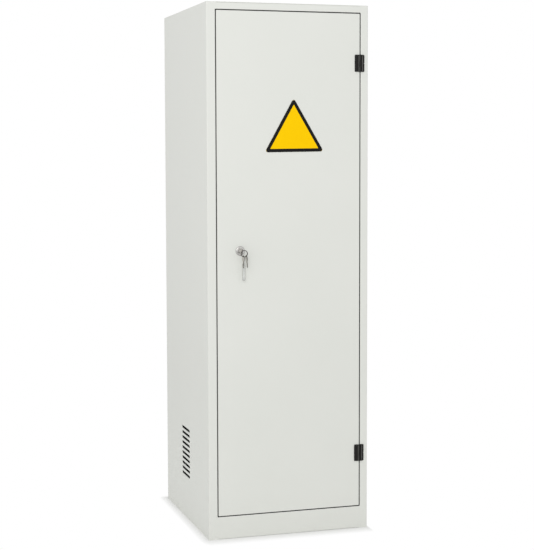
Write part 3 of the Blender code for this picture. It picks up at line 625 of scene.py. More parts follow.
def make_shade_gauze():
    material, tree, shader = start_material("shade_gauze", Specular_IOR_Level=0.05)
    axes = add_node(tree, "SeparateXYZ", {0: object_place(tree)}).outputs
    threads = []
    for axis in ("Y", "Z"):
        wave = reckon(tree, "SINE", reckon(tree, "MULTIPLY", axes[axis], 2 * math.pi / GAUZE_PITCH))
        threads.append(remap(tree, wave, THREAD_STARTS, THREAD_FULL))
    weave = reckon(tree, "MAXIMUM", *threads)
    tree.links.new(weave, shader.inputs["Alpha"])
    skin = place_group(tree, BAKED_POWDER, **FINE_SKIN)
    # Near-black threads: painted shade for the dark inside of the cabinet seen through the slots.
    two_tones(tree, shader, skin["Cloud"], srgb(7, 7, 7), srgb(14, 14, 13))
    roughness_range(tree, shader, skin["Cloud"], 0.70, 0.85)
    add_bump(tree, shader, weave, strength=0.4, distance=0.0002)
    return material


finishes["shade_gauze"] = make_shade_gauze()
print("finish: shade_gauze,", len(finishes), "finishes in all")

# %% [markdown]
# ## Finish on the frame
# The imported solids are made of separate flat triangles, so a folded edge would show its facets. Their
# meshes stay untouched. A geometry node modifier welds the triangles for display only and shades every
# bend smooth, which keeps the true corners sharp. Plain smooth shading would also spread each bend over the
# large flat sheet beside it, so a second modifier weighs the normals by the size of the faces.

# %% Smooth bends
SHARP_CORNER = math.radians(32)
WELD_DISTANCE = 0.00002


def make_smooth_bends():
    group = bpy.data.node_groups.new("smooth_bends", "GeometryNodeTree")
    for end in ("INPUT", "OUTPUT"):
        group.interface.new_socket("Geometry", in_out=end, socket_type="NodeSocketGeometry")
    source = group.nodes.new("NodeGroupInput")
    weld = group.nodes.new("GeometryNodeMergeByDistance")
    weld.inputs["Distance"].default_value = WELD_DISTANCE
    forget = group.nodes.new("GeometryNodeRemoveAttribute")
    forget.inputs["Name"].default_value = "custom_normal"
    smooth = group.nodes.new("GeometryNodeSetShadeSmooth")
    angle = group.nodes.new("GeometryNodeInputMeshEdgeAngle")
    sharp = group.nodes.new("FunctionNodeCompare")
    sharp.inputs["B"].default_value = SHARP_CORNER
    corners = group.nodes.new("GeometryNodeSetShadeSmooth")
    corners.domain = "EDGE"
    corners.inputs["Shade Smooth"].default_value = False
    group.links.new(angle.outputs["Unsigned Angle"], sharp.inputs["A"])
    group.links.new(sharp.outputs[0], corners.inputs["Selection"])
    chain = (source, weld, forget, smooth, corners, group.nodes.new("NodeGroupOutput"))
    for node, following in zip(chain, chain[1:]):
        group.links.new(node.outputs[0], following.inputs["Geometry"])
    return group


SMOOTH_BENDS = make_smooth_bends()
print("modifier group:", SMOOTH_BENDS.name)

# %% [markdown]
# ## Finishes in their places
# The part's record names a finish for every piece, so a loop hands them out and no piece is forgotten. Only
# the plug gets another one: the record calls it bright steel, and here it takes the turned steel of the
# collar round it, because both are faced on the same lathe.

# %% Finishes in their places
def keep_faces_flat(thing):
    """Gives large faces the say over the normals at their edges, so that only the bends are shaded round."""
    modifier = thing.modifiers.new("flat_faces", "WEIGHTED_NORMAL")
    modifier.keep_sharp = True


for part in frame["record"]["subparts"]:
    node = nodes[part["node"]]
    node.material_slots[0].material = finishes[part["material_slot"]]
    modifier = node.modifiers.new("smooth_bends", "NODES")
    modifier.node_group = SMOOTH_BENDS
    keep_faces_flat(node)
nodes["lock_plug"].material_slots[0].material = finishes["turned_steel"]
print("finished frame nodes:", len(nodes))

# %% [markdown]
# ## Arcs and rings
# A fine shape could be pushed about by hand in edit mode. Here each one is skinned from rings of points,
# because rings follow the sizes of the frame and leave clean quads. Most of their points lie on arcs, so
# the first helpers give the steps of an arc and the way that each step points.

# %% Arcs and rings
CORNER_STEPS = 4


def turns(start, end, steps):
    """Equal steps of an angle from start to end, given in degrees, with both ends."""
    return [math.radians(start + (end - start) * step / steps) for step in range(steps + 1)]


def circle(steps):
    return turns(0, 360, steps)[:-1]


def way(turn):
    return Vector((math.cos(turn), math.sin(turn)))


def on_front(points, y):
    """Puts flat points upright, as seen from the front, at the depth y."""
    return [Vector((point.x, y, point.y)) for point in points]


def rounded_outline(low, high, radius, steps=CORNER_STEPS):
    """Points round a rectangle with round corners, each with the direction that faces outwards there."""
    near = Vector(low) + Vector((radius, radius))
    far = Vector(high) - Vector((radius, radius))
    middles = (far, Vector((near.x, far.y)), near, Vector((far.x, near.y)))
    outline = []
    for quarter, middle in enumerate(middles):
        for turn in turns(90 * quarter, 90 * quarter + 90, steps):
            outline.append((middle + way(turn) * radius, way(turn)))
    return outline


print("a round corner has", len(turns(0, 90, CORNER_STEPS)), "points")

# %% [markdown]
# ## Skins and pieces
# A row of rings becomes a mesh when neighbours are joined by quads. The row either closes on itself, as a
# hoop does, or ends in two caps. The last helper hangs the finished piece on the body that carries it, so
# that it moves with its joint, and hides the solid whose place it takes.

# %% Skins and pieces
def loft(rings, shape=None, joined=False):
    """Skins a row of equal rings. A joined row closes on itself, and any other row gets two end caps."""
    shape = shape or bmesh.new()
    rows = [[shape.verts.new(point) for point in ring] for ring in rings]
    pairs = list(zip(rows, rows[1:]))
    if joined:
        pairs.append((rows[-1], rows[0]))
    else:
        shape.faces.new(rows[0])
        shape.faces.new(rows[-1])
    for here, there in pairs:
        for corners in zip(here, here[1:] + here[:1], there[1:] + there[:1], there):
            shape.faces.new(corners)
    return shape


def add_piece(name, shape, body, slot, finish=None, replaced=()):
    """Makes an object of a mesh, hangs it on its body and gives it the finish of its slot, or another."""
    bmesh.ops.recalc_face_normals(shape, faces=shape.faces)
    mesh = bpy.data.meshes.new(name)
    shape.to_mesh(mesh)
    shape.free()
    mesh.shade_smooth()
    mesh.set_sharp_from_angle(angle=SHARP_CORNER)
    mesh.materials.append(finishes[finish or slot])
    thing = bpy.data.objects.new(name, mesh)
    keep_faces_flat(thing)
    bpy.context.scene.collection.objects.link(thing)
    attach(thing, body)
    if replaced:
        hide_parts(*replaced)
    print("piece:", name, "on", body, "with", len(mesh.polygons), "faces")
    return thing


print("piece helpers ready")

# %% [markdown]
# ## Roof plate
# The roof is a plain sheet, welded on all round and ground until its edge runs into the walls. The solid
# model keeps a hair gap there so that its pieces stay apart. A bevel on the flat plate would leave that
# gap in view, so the plate is skinned anew, with the walls' own corner radius and a rim that laps over
# the gap.

# %% Roof plate
CORNER_BEND = 0.003
RIM_ROUND = 0.0012
RIM_LAP = 0.0006
FLUSH = 0.00003


def make_roof():
    low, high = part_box("top_panel")
    outline = rounded_outline(low[:2], high[:2], CORNER_BEND)
    levels = [(low.z - RIM_LAP, FLUSH)]
    for turn in turns(0, 90, CORNER_STEPS):
        rise = high.z - RIM_ROUND * (1 - math.sin(turn))
        levels.append((rise, FLUSH - RIM_ROUND * (1 - math.cos(turn))))
    rings = []
    for z, grow in levels:
        rings.append([(point + out * grow).to_3d() + Vector((0, 0, z)) for point, out in outline])
    add_piece("roof_plate", loft(rings), "carcass", "grey_coat", replaced=["top_panel"])


make_roof()

# %% [markdown]
# ## Ground welds
# The header and the plinth are welded between the two front uprights. The beads are ground flat before
# the coat goes on, so almost nothing shows of the joint. Filling the seam in the solids would fuse two
# pieces, so a low bead of its own lies over each seam and follows the fold at its end.

# %% Ground welds
WELD_WIDTH = 0.0064
WELD_CROWN = 0.00005
WELD_DEPTH = 0.0024
WELD_FOLD_STEPS = 5
WELD_SECTION = (
    (-0.5, -WELD_DEPTH),
    (0.5, -WELD_DEPTH),
    (0.5, 0.2 * WELD_CROWN),
    (0.25, 0.8 * WELD_CROWN),
    (0.0, WELD_CROWN),
    (-0.25, 0.8 * WELD_CROWN),
    (-0.5, 0.2 * WELD_CROWN),
)
DOOR_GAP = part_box("door_panel")[0].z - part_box("plinth_front")[1].z


def weld_path(x, start, end):
    """Runs up or down the front from start and turns inwards round the fold at end."""
    up = math.copysign(1, end - start)
    path = [(Vector((x, FRONT, start)), Vector((0, -1, 0)))]
    middle = Vector((x, FRONT + CORNER_BEND, end - up * CORNER_BEND))
    for turn in turns(0, 90, WELD_FOLD_STEPS):
        out = Vector((0, -math.cos(turn), up * math.sin(turn)))
        path.append((middle + out * CORNER_BEND, out))
    return path


def make_ground_welds():
    shape = bmesh.new()
    header_low, header_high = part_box("header_rail")
    plinth_low, plinth_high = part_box("plinth_front")
    header_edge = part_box("door_panel")[1].z + DOOR_GAP
    across = Vector((WELD_WIDTH, 0, 0))
    for seam in (header_low.x - CORNER_BEND / 2, header_high.x + CORNER_BEND / 2):
        for start, end in ((header_high.z, header_edge), (plinth_low.z, plinth_high.z)):
            rings = []
            for point, out in weld_path(seam, start, end):
                rings.append([point + across * share + out * rise for share, rise in WELD_SECTION])
            loft(rings, shape)
    add_piece("ground_welds", shape, "carcass", "grey_coat")


make_ground_welds()

# %% [markdown]
# ## Door seal
# A black rubber strip is pushed onto the edge of the frame and takes up most of the gap round the door. It
# is there so that the gap looks black from every side: the dark strip stands in for the shade deep in the
# gap. Dark paint in the gap would do from the front, but with the door open the strip can be seen, so it is
# a real profile that runs once round the opening. It leaves the door's edge the little room that it needs to
# swing out.

# %% Door seal
SEAL_HEIGHT = 0.00235
SEAL_SHOULDER = 0.35
SEAL_FROM = 0.0009
SEAL_TO = 0.0056
SEAL_SINK = 0.0009
SEAL_CORNER = 0.0035
SEAL_STEPS = 8


def seal_section():
    """Points (out from the opening's edge, depth behind the front) round a strip with a domed lip."""
    middle = (SEAL_FROM + SEAL_TO) / 2
    half = (SEAL_TO - SEAL_FROM) / 2
    section = [(SEAL_SINK, SEAL_TO), (SEAL_SINK, SEAL_FROM)]
    for turn in turns(0, 180, SEAL_STEPS):
        rise = SEAL_HEIGHT * (SEAL_SHOULDER + (1 - SEAL_SHOULDER) * math.sin(turn))
        section.append((-rise, middle - half * math.cos(turn)))
    return section


def make_dark_gap_seal():
    low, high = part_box("door_panel")
    opening_low = (low.x - DOOR_GAP, low.z - DOOR_GAP)
    opening_high = (high.x + DOOR_GAP, high.z + DOOR_GAP)
    rings = []
    for point, out in rounded_outline(opening_low, opening_high, SEAL_CORNER):
        places = [(point + out * grow, depth) for grow, depth in seal_section()]
        rings.append([Vector((place.x, FRONT + depth, place.y)) for place, depth in places])
    # The dark strip stands in for the shade in the door gap.
    add_piece("dark_gap_seal", loft(rings, joined=True), "carcass", "black_rubber")


make_dark_gap_seal()

# %% [markdown]
# ## Vent gauze
# Behind the ventilation slots each wall carries a panel of black wire gauze, so the slots look black from
# outside and nothing crawls in. The black panel is a dark sheet that stands in for the shade inside the
# cabinet. Thousands of real wires would only slow the picture down, so each panel is a thin pressed frame,
# and its material opens the holes between the threads.

# %% Vent gauze
SHEET = 0.0015
SHEET_GAP = 0.0003
VENT_SETBACK = 0.339
VENT_LEVEL = 0.2503
GAUZE_HALF = Vector((0.068, 0.104))
GAUZE_CORNER = 0.006
GAUZE_RIM = 0.005
GAUZE_LIFT = 0.0012
GAUZE_THICKNESS = 0.0005


def make_gauze(name, inner_face, inwards):
    """A flat rim lies against the wall, and the field inside it stands off a little."""
    steps = ((0.0, 0.0), (GAUZE_RIM, 0.0), (GAUZE_RIM + GAUZE_LIFT, GAUZE_LIFT))
    middle = Vector((FRONT + VENT_SETBACK, VENT_LEVEL))
    outline = rounded_outline(middle - GAUZE_HALF, middle + GAUZE_HALF, GAUZE_CORNER)
    rings = []
    for layer, order in ((0.0, steps[::-1]), (GAUZE_THICKNESS, steps)):
        for shrink, lift in order:
            x = inner_face + inwards * (SHEET_GAP + layer + lift)
            places = [point - out * shrink for point, out in outline]
            rings.append([Vector((x, place.x, place.y)) for place in places])
    add_piece(name, loft(rings), "carcass", "black_cast", "shade_gauze")


make_gauze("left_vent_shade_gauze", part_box("left_side_panel")[0].x + SHEET, 1)
make_gauze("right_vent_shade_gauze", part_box("right_side_panel")[1].x - SHEET, -1)

# %% [markdown]
# ## Triangle of the sign
# A triangular plate is stuck on the upper part of the door, a little crooked. Its corners are round. A
# triangle could be beveled, but both the plate and its band need the same outline at several insets, so a
# function draws it from the middle of the plate, which is worked back from the solid's box.

# %% Triangle of the sign
SIGN_SIDE = 0.220
SIGN_CORNER = 0.007
SIGN_TILT = 0.7
SIGN_WAYS = (90, 210, 330)
CORNER_TURN = 120
SIGN_STEPS = 10


def corner_reach(inset, corner):
    """How far the middle of a round corner lies from the middle of the plate."""
    return 2 * (SIGN_SIDE / math.sqrt(12) - inset - corner)


def find_sign_centre():
    """Works back from the box of the tilted plate to the middle of its triangle."""
    low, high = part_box("sign_plate")
    reach = corner_reach(0, SIGN_CORNER)
    tilt = math.radians(SIGN_TILT)
    across = (low.x + high.x) / 2 - reach * math.sin(tilt) / 2
    return Vector((across, high.z - SIGN_CORNER - reach * math.cos(tilt)))


SIGN_CENTRE = find_sign_centre()


def sign_outline(inset, corner):
    """A triangle with round corners, drawn inset from the plate's straight edges."""
    points = []
    for angle in SIGN_WAYS:
        heading = angle + SIGN_TILT
        middle = SIGN_CENTRE + way(math.radians(heading)) * corner_reach(inset, corner)
        for turn in turns(heading - CORNER_TURN / 2, heading + CORNER_TURN / 2, SIGN_STEPS):
            points.append(middle + way(turn) * corner)
    return points


print("sign: middle at", [round(value, 4) for value in SIGN_CENTRE])

# %% [markdown]
# ## Sign plate and its band
# The plate is yellow with a black band printed right over its edge. The band could be a mask in the
# material, but as a layer of its own it keeps a crisp edge at any distance. The faces round the plate's
# edge take the same black.

# %% Sign plate and its band
BAND_WIDTH = 0.0116
BAND_CORNER = 0.0006
BAND_LAYER = 0.00006
PLATE_ROUND = 0.0003
PLATE_SHOULDER = 0.3 * PLATE_ROUND
FACES_FRONT = 0.95


def make_sign_face():
    low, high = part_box("sign_plate")
    steps = [(0, high.y), (0, low.y + PLATE_ROUND)]
    steps += [(PLATE_SHOULDER, low.y + PLATE_SHOULDER), (PLATE_ROUND, low.y)]
    rings = [on_front(sign_outline(inset, SIGN_CORNER), y) for inset, y in steps]
    plate = add_piece("sign_face", loft(rings), "door", "sign_yellow", replaced=["sign_plate"])
    plate.data.materials.append(finishes["sign_black"])
    for face in plate.data.polygons:
        face.material_index = int(abs(face.normal.y) < FACES_FRONT)


def make_sign_band():
    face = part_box("sign_plate")[0].y
    outer = sign_outline(PLATE_ROUND, SIGN_CORNER)
    inner = sign_outline(BAND_WIDTH, BAND_CORNER)
    rings = [on_front(outer, face + BAND_LAYER), on_front(outer, face - BAND_LAYER)]
    rings += [on_front(inner, face - BAND_LAYER), on_front(inner, face + BAND_LAYER)]
    add_piece("sign_band", loft(rings, joined=True), "door", "black_cast", "sign_black")


make_sign_face()
make_sign_band()

# %% [markdown]
# ## Section of a hinge casting
# Each hinge is a pair of black castings on one pin. A casting rises from a thin outer edge to a rounded
# ridge and falls off to the pin, where it either wraps round it as a knuckle or stops at a plain wall beside
# the other half's knuckle. Straight facets would look machined, so the section is drawn with arcs. Every
# section has as many points as the next, so that they can be skinned in a row.

# %% Section of a hinge casting
EDGE_HEIGHT = 0.0031
EDGE_ROUND = ((0.0, 0.60), (0.0005, 0.88))
SLOPE_START = 0.0014
SLOPE_SHARES = (0.0, 0.35, 0.7)
SLOPE_RISE = 0.12
RIDGE_REACH = 0.0064
RIDGE_HALF = 0.0030
RIDGE_HEIGHT = 0.0077
RIDGE_ARC = (8, 158, 10)
KNUCKLE_RADIUS = 0.0024
KNUCKLE_GAP = 0.0004
KNUCKLE_ARC = (35, 285, 8)
WALL_HEIGHT = 0.0040


def outer_slope(reach, lift):
    """From the casting's edge on the sheet up to the foot of its ridge."""
    points = [(reach, SHEET_GAP)]
    points += [(reach - inset, share * EDGE_HEIGHT * lift) for inset, share in EDGE_ROUND]
    start = reach - SLOPE_START
    for share in SLOPE_SHARES:
        out = start + (RIDGE_REACH + RIDGE_HALF - start) * share
        points.append((out, EDGE_HEIGHT * (1 + SLOPE_RISE * share) * lift))
    return points


def casting_section(reach, lift, knuckle, axis_height):
    """Points (out from the pin, up from the sheet) round one casting, from its outer edge to the pin."""
    points = outer_slope(reach, lift)
    for turn in turns(*RIDGE_ARC):
        up = EDGE_HEIGHT + (RIDGE_HEIGHT - EDGE_HEIGHT) * math.sin(turn)
        points.append((RIDGE_REACH + RIDGE_HALF * math.cos(turn), up * lift))
    arc = turns(*KNUCKLE_ARC)
    for step, turn in enumerate(arc):
        if knuckle:
            points.append((knuckle * math.cos(turn), axis_height + knuckle * math.sin(turn)))
        else:
            drop = (WALL_HEIGHT * lift - SHEET_GAP) * (1 - step / (len(arc) - 1))
            points.append((KNUCKLE_RADIUS + 2 * KNUCKLE_GAP, SHEET_GAP + drop))
    return points


print("a casting's section has", len(casting_section(RIDGE_REACH * 2, 1, 0, 0)), "points")

# %% [markdown]
# ## Hinge castings
# Along the pin the section changes where a knuckle starts, where the ends taper and where the frame side
# has its small notch. Cutting these out of one long bar would leave ragged edges, so each change gets a
# section of its own, and the castings are skinned through all of them.

# %% Hinge castings
MIDDLE_KNUCKLE = 0.024
END_TAPER = ((0.0, 0.50, 0.0024), (0.0006, 0.68, 0.0012), (0.0016, 0.86, 0.0004), (0.0032, 1.0, 0.0))
END_KNUCKLE = 0.9
NOTCH_RADIUS = 0.0016
NOTCH_SHARES = (1.0, 0.85, 0.5, 0.0)


def casting_levels(half, own_ends, notched):
    """Heights along the pin, each with its taper, its notch and whether the casting has a knuckle there."""
    split = MIDDLE_KNUCKLE / 2
    marks = {half - inset: (lift, cut) for inset, lift, cut in END_TAPER}
    marks[split + KNUCKLE_GAP / 2] = (1.0, 0.0)
    marks[split - KNUCKLE_GAP / 2] = (1.0, 0.0)
    if notched:
        for share in NOTCH_SHARES:
            marks[NOTCH_RADIUS * share] = (1.0, NOTCH_RADIUS * math.sqrt(1 - share ** 2))
    levels = []
    for away, (lift, cut) in marks.items():
        knuckle = (away < split) != own_ends
        levels += [(place, lift, cut, knuckle) for place in {away, -away}]
    return sorted(levels)


def make_casting(name, pin, body, side, own_ends, replaced):
    axis = node_middle(pin)
    low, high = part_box(replaced)
    reach = (high.x - axis.x) if side > 0 else (axis.x - low.x)
    rings = []
    for away, lift, cut, knuckle in casting_levels((high.z - low.z) / 2, own_ends, side > 0):
        barrel = KNUCKLE_RADIUS * (1 if lift == 1 else END_KNUCKLE) if knuckle else 0
        section = casting_section(reach - cut, lift, barrel, FRONT - axis.y)
        rings.append([Vector((axis.x + side * out, FRONT - up, axis.z + away)) for out, up in section])
    add_piece(name, loft(rings), body, "black_cast", replaced=[replaced])


for level in ("upper", "lower"):
    pin = level + "_hinge_pin"
    make_casting(level + "_hinge_door_side", pin, "door", -1, True, level + "_door_leaf")
    make_casting(level + "_hinge_frame_side", pin, "carcass", 1, False, level + "_frame_leaf")

# %% [markdown]
# ## Lock collar
# The lock sits in a round hole and is held by a nut inside the door. Outside only the plug shows, with a
# collar round it that has a soft rim. Its housing could be stacked from cylinders, but it is turned on a
# lathe, so a turned profile is the natural way and also gives the grooves of the thread that takes the nut.

# %% Lock collar
COLLAR_SIDES = 64
LOCK_BORE = 0.0073
BORE_CHAMFER = 0.0004
BARREL_RADIUS = 0.0095
RIM_STEPS = 6
RIM_DEPTH = 0.9
THREAD_PITCH = 0.0012
THREAD_DEPTH = 0.0004
THREAD_SHAPE = ((0.1, 0), (0.5, THREAD_DEPTH), (0.9, 0))


def around(turn):
    """The direction that faces outwards at a turn round an axis that runs straight back."""
    return Vector((math.cos(turn), 0, math.sin(turn)))


def turned(profile, axis, sides):
    """Turns a closed profile of (radius, Y) points round an axis that runs along Y."""
    rings = []
    for turn in circle(sides):
        rings.append([Vector((axis.x, y, axis.z)) + around(turn) * radius for radius, y in profile])
    return loft(rings, joined=True)


def collar_profile():
    low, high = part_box("lock_housing")
    collar = half_width("lock_housing")
    seat = FRONT - SHEET_GAP
    rim = seat - low.y
    profile = [(LOCK_BORE, high.y), (LOCK_BORE, low.y + BORE_CHAMFER), (LOCK_BORE + BORE_CHAMFER, low.y)]
    for turn in turns(0, 90, RIM_STEPS):
        profile.append((collar - rim * (1 - math.sin(turn)), low.y + rim * (1 - math.cos(turn)) * RIM_DEPTH))
    profile += [(collar, seat), (BARREL_RADIUS, seat)]
    for groove in range(int((high.y - FRONT) / THREAD_PITCH)):
        for share, depth in THREAD_SHAPE:
            profile.append((BARREL_RADIUS - depth, FRONT + (groove + share) * THREAD_PITCH))
    return profile + [(BARREL_RADIUS - THREAD_DEPTH, high.y)]


lock_axis = node_middle("lock_housing")
shape = turned(collar_profile(), lock_axis, COLLAR_SIDES)
add_piece("lock_collar", shape, "door", "bright_steel", "turned_steel", replaced=["lock_housing"])

# %% [markdown]
# ## Outline of a key
# Three flat keys belong to the lock: one stands in it and two hang from the ring. A key is stamped from
# sheet brass and plated. It has a round bow and a blade with five cuts in one edge. The outline could be
# traced, but a few measures say all of it: the bow's radius, the blade's half height, a blunt tip and the
# depth of each cut.

# %% Outline of a key
BOW_RADIUS = 0.0115
BOW_STEPS = 36
BLADE_HALF = 0.0042
BLADE_START = 0.0145
BLADE_END = 0.0331
TIP_SHAPE = ((0.0020, -1.0), (0.0, -0.5), (0.0, 0.4), (0.0016, 0.8))
CUTS_FROM = BLADE_START + 0.0020
CUTS_TO = BLADE_END - 0.0026
CUT_DEPTHS = (0.0012, 0.0022, 0.0008, 0.0018, 0.0014)
CUT_SHAPE = ((0.34, 0.2), (0.14, 1.0), (-0.14, 1.0), (-0.34, 0.2))


def key_outline():
    """Points round a key that lies flat, with its bow at the start and its blade along the first axis."""
    opening = math.degrees(math.asin(BLADE_HALF / BOW_RADIUS))
    points = [tuple(way(turn) * BOW_RADIUS) for turn in turns(opening, 360 - opening, BOW_STEPS)]
    points.append((BLADE_START, -BLADE_HALF))
    points += [(BLADE_END - back, share * BLADE_HALF) for back, share in TIP_SHAPE]
    step = (CUTS_TO - CUTS_FROM) / len(CUT_DEPTHS)
    for place, depth in reversed(list(enumerate(CUT_DEPTHS))):
        middle = CUTS_FROM + step * (place + 0.5)
        points += [(middle + along * step, BLADE_HALF - sunk * depth) for along, sunk in CUT_SHAPE]
    return points + [(BLADE_START, BLADE_HALF)]


print("a key's outline has", len(key_outline()), "points")

# %% [markdown]
# ## Carving
# A press punches the eye of a key, and a mill cuts its grooves. Both take material away, and so does a
# Boolean modifier. It could stay on the object, but the piece needs its final mesh, so the cut is worked
# out once and read back.

# %% Carving
DISC_SIDES = 32


def prism(points, low, high, shape=None):
    """Raises an outline in the YZ plane to a thickness along X."""
    return loft([[Vector((x, a, b)) for a, b in points] for x in (low, high)], shape)


def disc(centre, radius, sides=DISC_SIDES):
    return [Vector(centre) + way(turn) * radius for turn in circle(sides)]


def carved(shape, cutter):
    """Cuts one mesh out of another and gives back the result as a mesh in the making."""
    things = []
    for part in (shape, cutter):
        bmesh.ops.recalc_face_normals(part, faces=part.faces)
        mesh = bpy.data.meshes.new("carving")
        part.to_mesh(mesh)
        part.free()
        thing = bpy.data.objects.new("carving", mesh)
        bpy.context.scene.collection.objects.link(thing)
        things.append(thing)
    cut = things[0].modifiers.new("cut", "BOOLEAN")
    cut.object = things[1]
    cut.operation = "DIFFERENCE"
    shown = things[0].evaluated_get(bpy.context.evaluated_depsgraph_get())
    result = bmesh.new()
    result.from_mesh(shown.to_mesh())
    for thing in things:
        bpy.data.objects.remove(thing)
    return result


print("carving helpers ready, a disc has", DISC_SIDES, "sides")

# %% [markdown]
# ## Key blank
# A finished key has an eye in its bow, a shallow sunken field on each face and a groove along each side of
# the blade. A bump could fake the field and the grooves, but close up they catch the light at their edges,
# so they are cut out of the raised outline.

# %% Key blank
KEY_THICKNESS = 0.002
EYE_OFFSET = 0.006
EYE_RADIUS = 0.0026
FIELD_PLACE = 0.0036
FIELD_RADIUS = 0.0054
FIELD_DEPTH = 0.00025
GROOVE_DEPTH = 0.0005
GROOVE_HALF = 0.0007
GROOVE_SHIFT = 0.0007
GROOVE_PAST = 0.001


def groove_outline(shift):
    start = BLADE_START - GROOVE_PAST
    end = BLADE_END + GROOVE_PAST
    low = shift - GROOVE_HALF
    high = shift + GROOVE_HALF
    return [(start, low), (end, low), (end, high), (start, high)]


def key_shape():
    half = KEY_THICKNESS / 2
    field = disc((FIELD_PLACE, 0), FIELD_RADIUS)
    cutter = prism(disc((-EYE_OFFSET, 0), EYE_RADIUS), -KEY_THICKNESS, KEY_THICKNESS)
    for side in (-1, 1):
        for outline, depth in ((field, FIELD_DEPTH), (groove_outline(side * GROOVE_SHIFT), GROOVE_DEPTH)):
            low, high = sorted((side * (half - depth), side * KEY_THICKNESS))
            prism(outline, low, high, cutter)
    return carved(prism(key_outline(), -half, half), cutter)


print("key blank ready,", KEY_THICKNESS, "m thick")

# %% [markdown]
# ## Keys in their places
# One key stands straight in the lock, and the other two hang by their eyes from the ring, each turned to
# where it lies on the wire. They could be three modelled keys, but one blank is moved by a matrix of its
# own. The keys wear the dark nickel of painted shade, and the flat faces of the bows get a second, brighter
# finish that is a painted highlight.

# %% Keys in their places
RING_MIDDLE = node_middle("key_ring")
RING_HALF_WIRE = 0.0008
RING_RADIUS = half_width("key_ring") - RING_HALF_WIRE
KEY_SAG = 0.001
HANGING_KEYS = (("spare_key", -54.0, 6.0), ("second_key", -109.0, 0.0))
FACES_SIDE = 0.5


def ring_point(angle):
    return RING_MIDDLE + around(math.radians(angle)) * RING_RADIUS


def add_key(name, body, turn):
    shape = key_shape()
    bmesh.ops.transform(shape, matrix=turn, verts=shape.verts)
    key = add_piece(name + "_cut", shape, body, "bright_steel", "shaded_nickel", replaced=[name])
    # Bright nickel on the bows' flat faces is a painted highlight; the dark nickel elsewhere is painted
    # shade.
    key.data.materials.append(finishes["highlit_nickel"])
    back = turn.inverted()
    for face in key.data.polygons:
        flat = abs((back.to_3x3() @ face.normal).x) > FACES_SIDE
        face.material_index = int(flat and (back @ face.center).y < BOW_RADIUS)


bow = Vector((lock_axis.x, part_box("key")[0].y + BOW_RADIUS, lock_axis.z))
add_key("key", "key", Matrix.Translation(bow))
for name, angle, lean in HANGING_KEYS:
    tilt = math.radians(lean)
    down = Vector((math.sin(tilt), 0, -math.cos(tilt)))
    turn = Matrix.Rotation(-tilt, 4, "Y") @ Matrix.Rotation(math.radians(-90), 4, "X")
    place = ring_point(angle) + down * (EYE_OFFSET + KEY_SAG)
    add_key(name, "spare_keys", Matrix.Translation(place) @ turn)

# %% [markdown]
# ## Key ring
# A key ring is spring wire wound twice round, so that keys can be threaded on between the turns. A plain
# torus would miss that double line. The wire here follows two turns that lie side by side and change over
# in a short slant.

# %% Key ring
RING_WIRE = 0.0011
WIRE_SIDES = 10
TURN_GAP = 0.00112
RING_TURNS = 2
RING_STEPS = 144
SLANT = math.radians(35)
RING_START = math.radians(20)


def turn_shift(travel):
    """How far the wire lies to one side of the ring's middle. It crosses over after one full turn."""
    share = min(max((travel - 2 * math.pi) / SLANT + 0.5, 0.0), 1.0)
    return TURN_GAP * (2 * (3 * share ** 2 - 2 * share ** 3) - 1)


def make_ring():
    rings = []
    for travel in turns(0, 360 * RING_TURNS, RING_STEPS):
        out = around(RING_START + travel)
        middle = RING_MIDDLE + out * RING_RADIUS + Vector((0, turn_shift(travel), 0))
        ring = []
        for turn in circle(WIRE_SIDES):
            ring.append(middle + (out * math.cos(turn) + Vector((0, math.sin(turn), 0))) * RING_WIRE)
        rings.append(ring)
    # The ring's near-black nickel is painted shade.
    add_piece("split_ring", loft(rings), "key_ring", "bright_steel", "shaded_ring_nickel", replaced=["key_ring"])


make_ring()

# %% [markdown]
# ## Key tag
# A strip of clear plastic hangs behind the keys. It narrows to a neck with a small loop round the ring's
# wire. A flat plate would look like paper, so the strip is skinned from thin sections with round edges, and
# its rim catches the light as moulded plastic does. The loop is a hoop of the same plastic.

# %% Key tag
TAG_TURN = -90.0
TAG_HALF = 0.0005
TAG_EDGE = 0.6 * TAG_HALF
TAG_EDGE_STEPS = 3
TAG_NECK = 0.0018
NECK_DROP = 0.022
NECK_END = 0.001
TAG_SHOULDER = 0.004
TAG_CORNER = 0.0022
TAG_STEPS = 5
LOOP_RADIUS = 0.0016
LOOP_WIRE = 0.0006
LOOP_STEPS = 20
LOOP_SIDES = 8


def tag_stations(top):
    """Depth, height and half width of the strip, from the loop down to its round lower corners."""
    low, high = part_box("key_tag")
    wide = half_width("key_tag")
    back = high.y - TAG_HALF
    shoulder = top.z - NECK_DROP
    stations = [(top.y, top.z - LOOP_RADIUS, TAG_NECK), (back, shoulder + NECK_END, TAG_NECK)]
    for turn in turns(0, 90, TAG_STEPS):
        level = shoulder - TAG_SHOULDER * (1 - math.cos(turn))
        stations.append((back, level, TAG_NECK + (wide - TAG_NECK) * math.sin(turn)))
    for turn in turns(0, 90, TAG_STEPS):
        level = low.z + TAG_CORNER * (1 - math.sin(turn))
        stations.append((back, level, wide - TAG_CORNER * (1 - math.cos(turn))))
    return stations


def tag_section(x, y, z, half):
    outline = rounded_outline((-half, -TAG_HALF), (half, TAG_HALF), TAG_EDGE, TAG_EDGE_STEPS)
    return [Vector((x + point.x, y + point.y, z)) for point, _ in outline]


def tag_loop(top):
    loops = []
    for turn in circle(LOOP_STEPS):
        out = Vector((0, math.cos(turn), math.sin(turn)))
        loop = []
        for corner in circle(LOOP_SIDES):
            reach = LOOP_RADIUS + LOOP_WIRE * math.cos(corner)
            loop.append(top + out * reach + Vector((TAG_NECK * math.sin(corner), 0, 0)))
        loops.append(loop)
    return loops


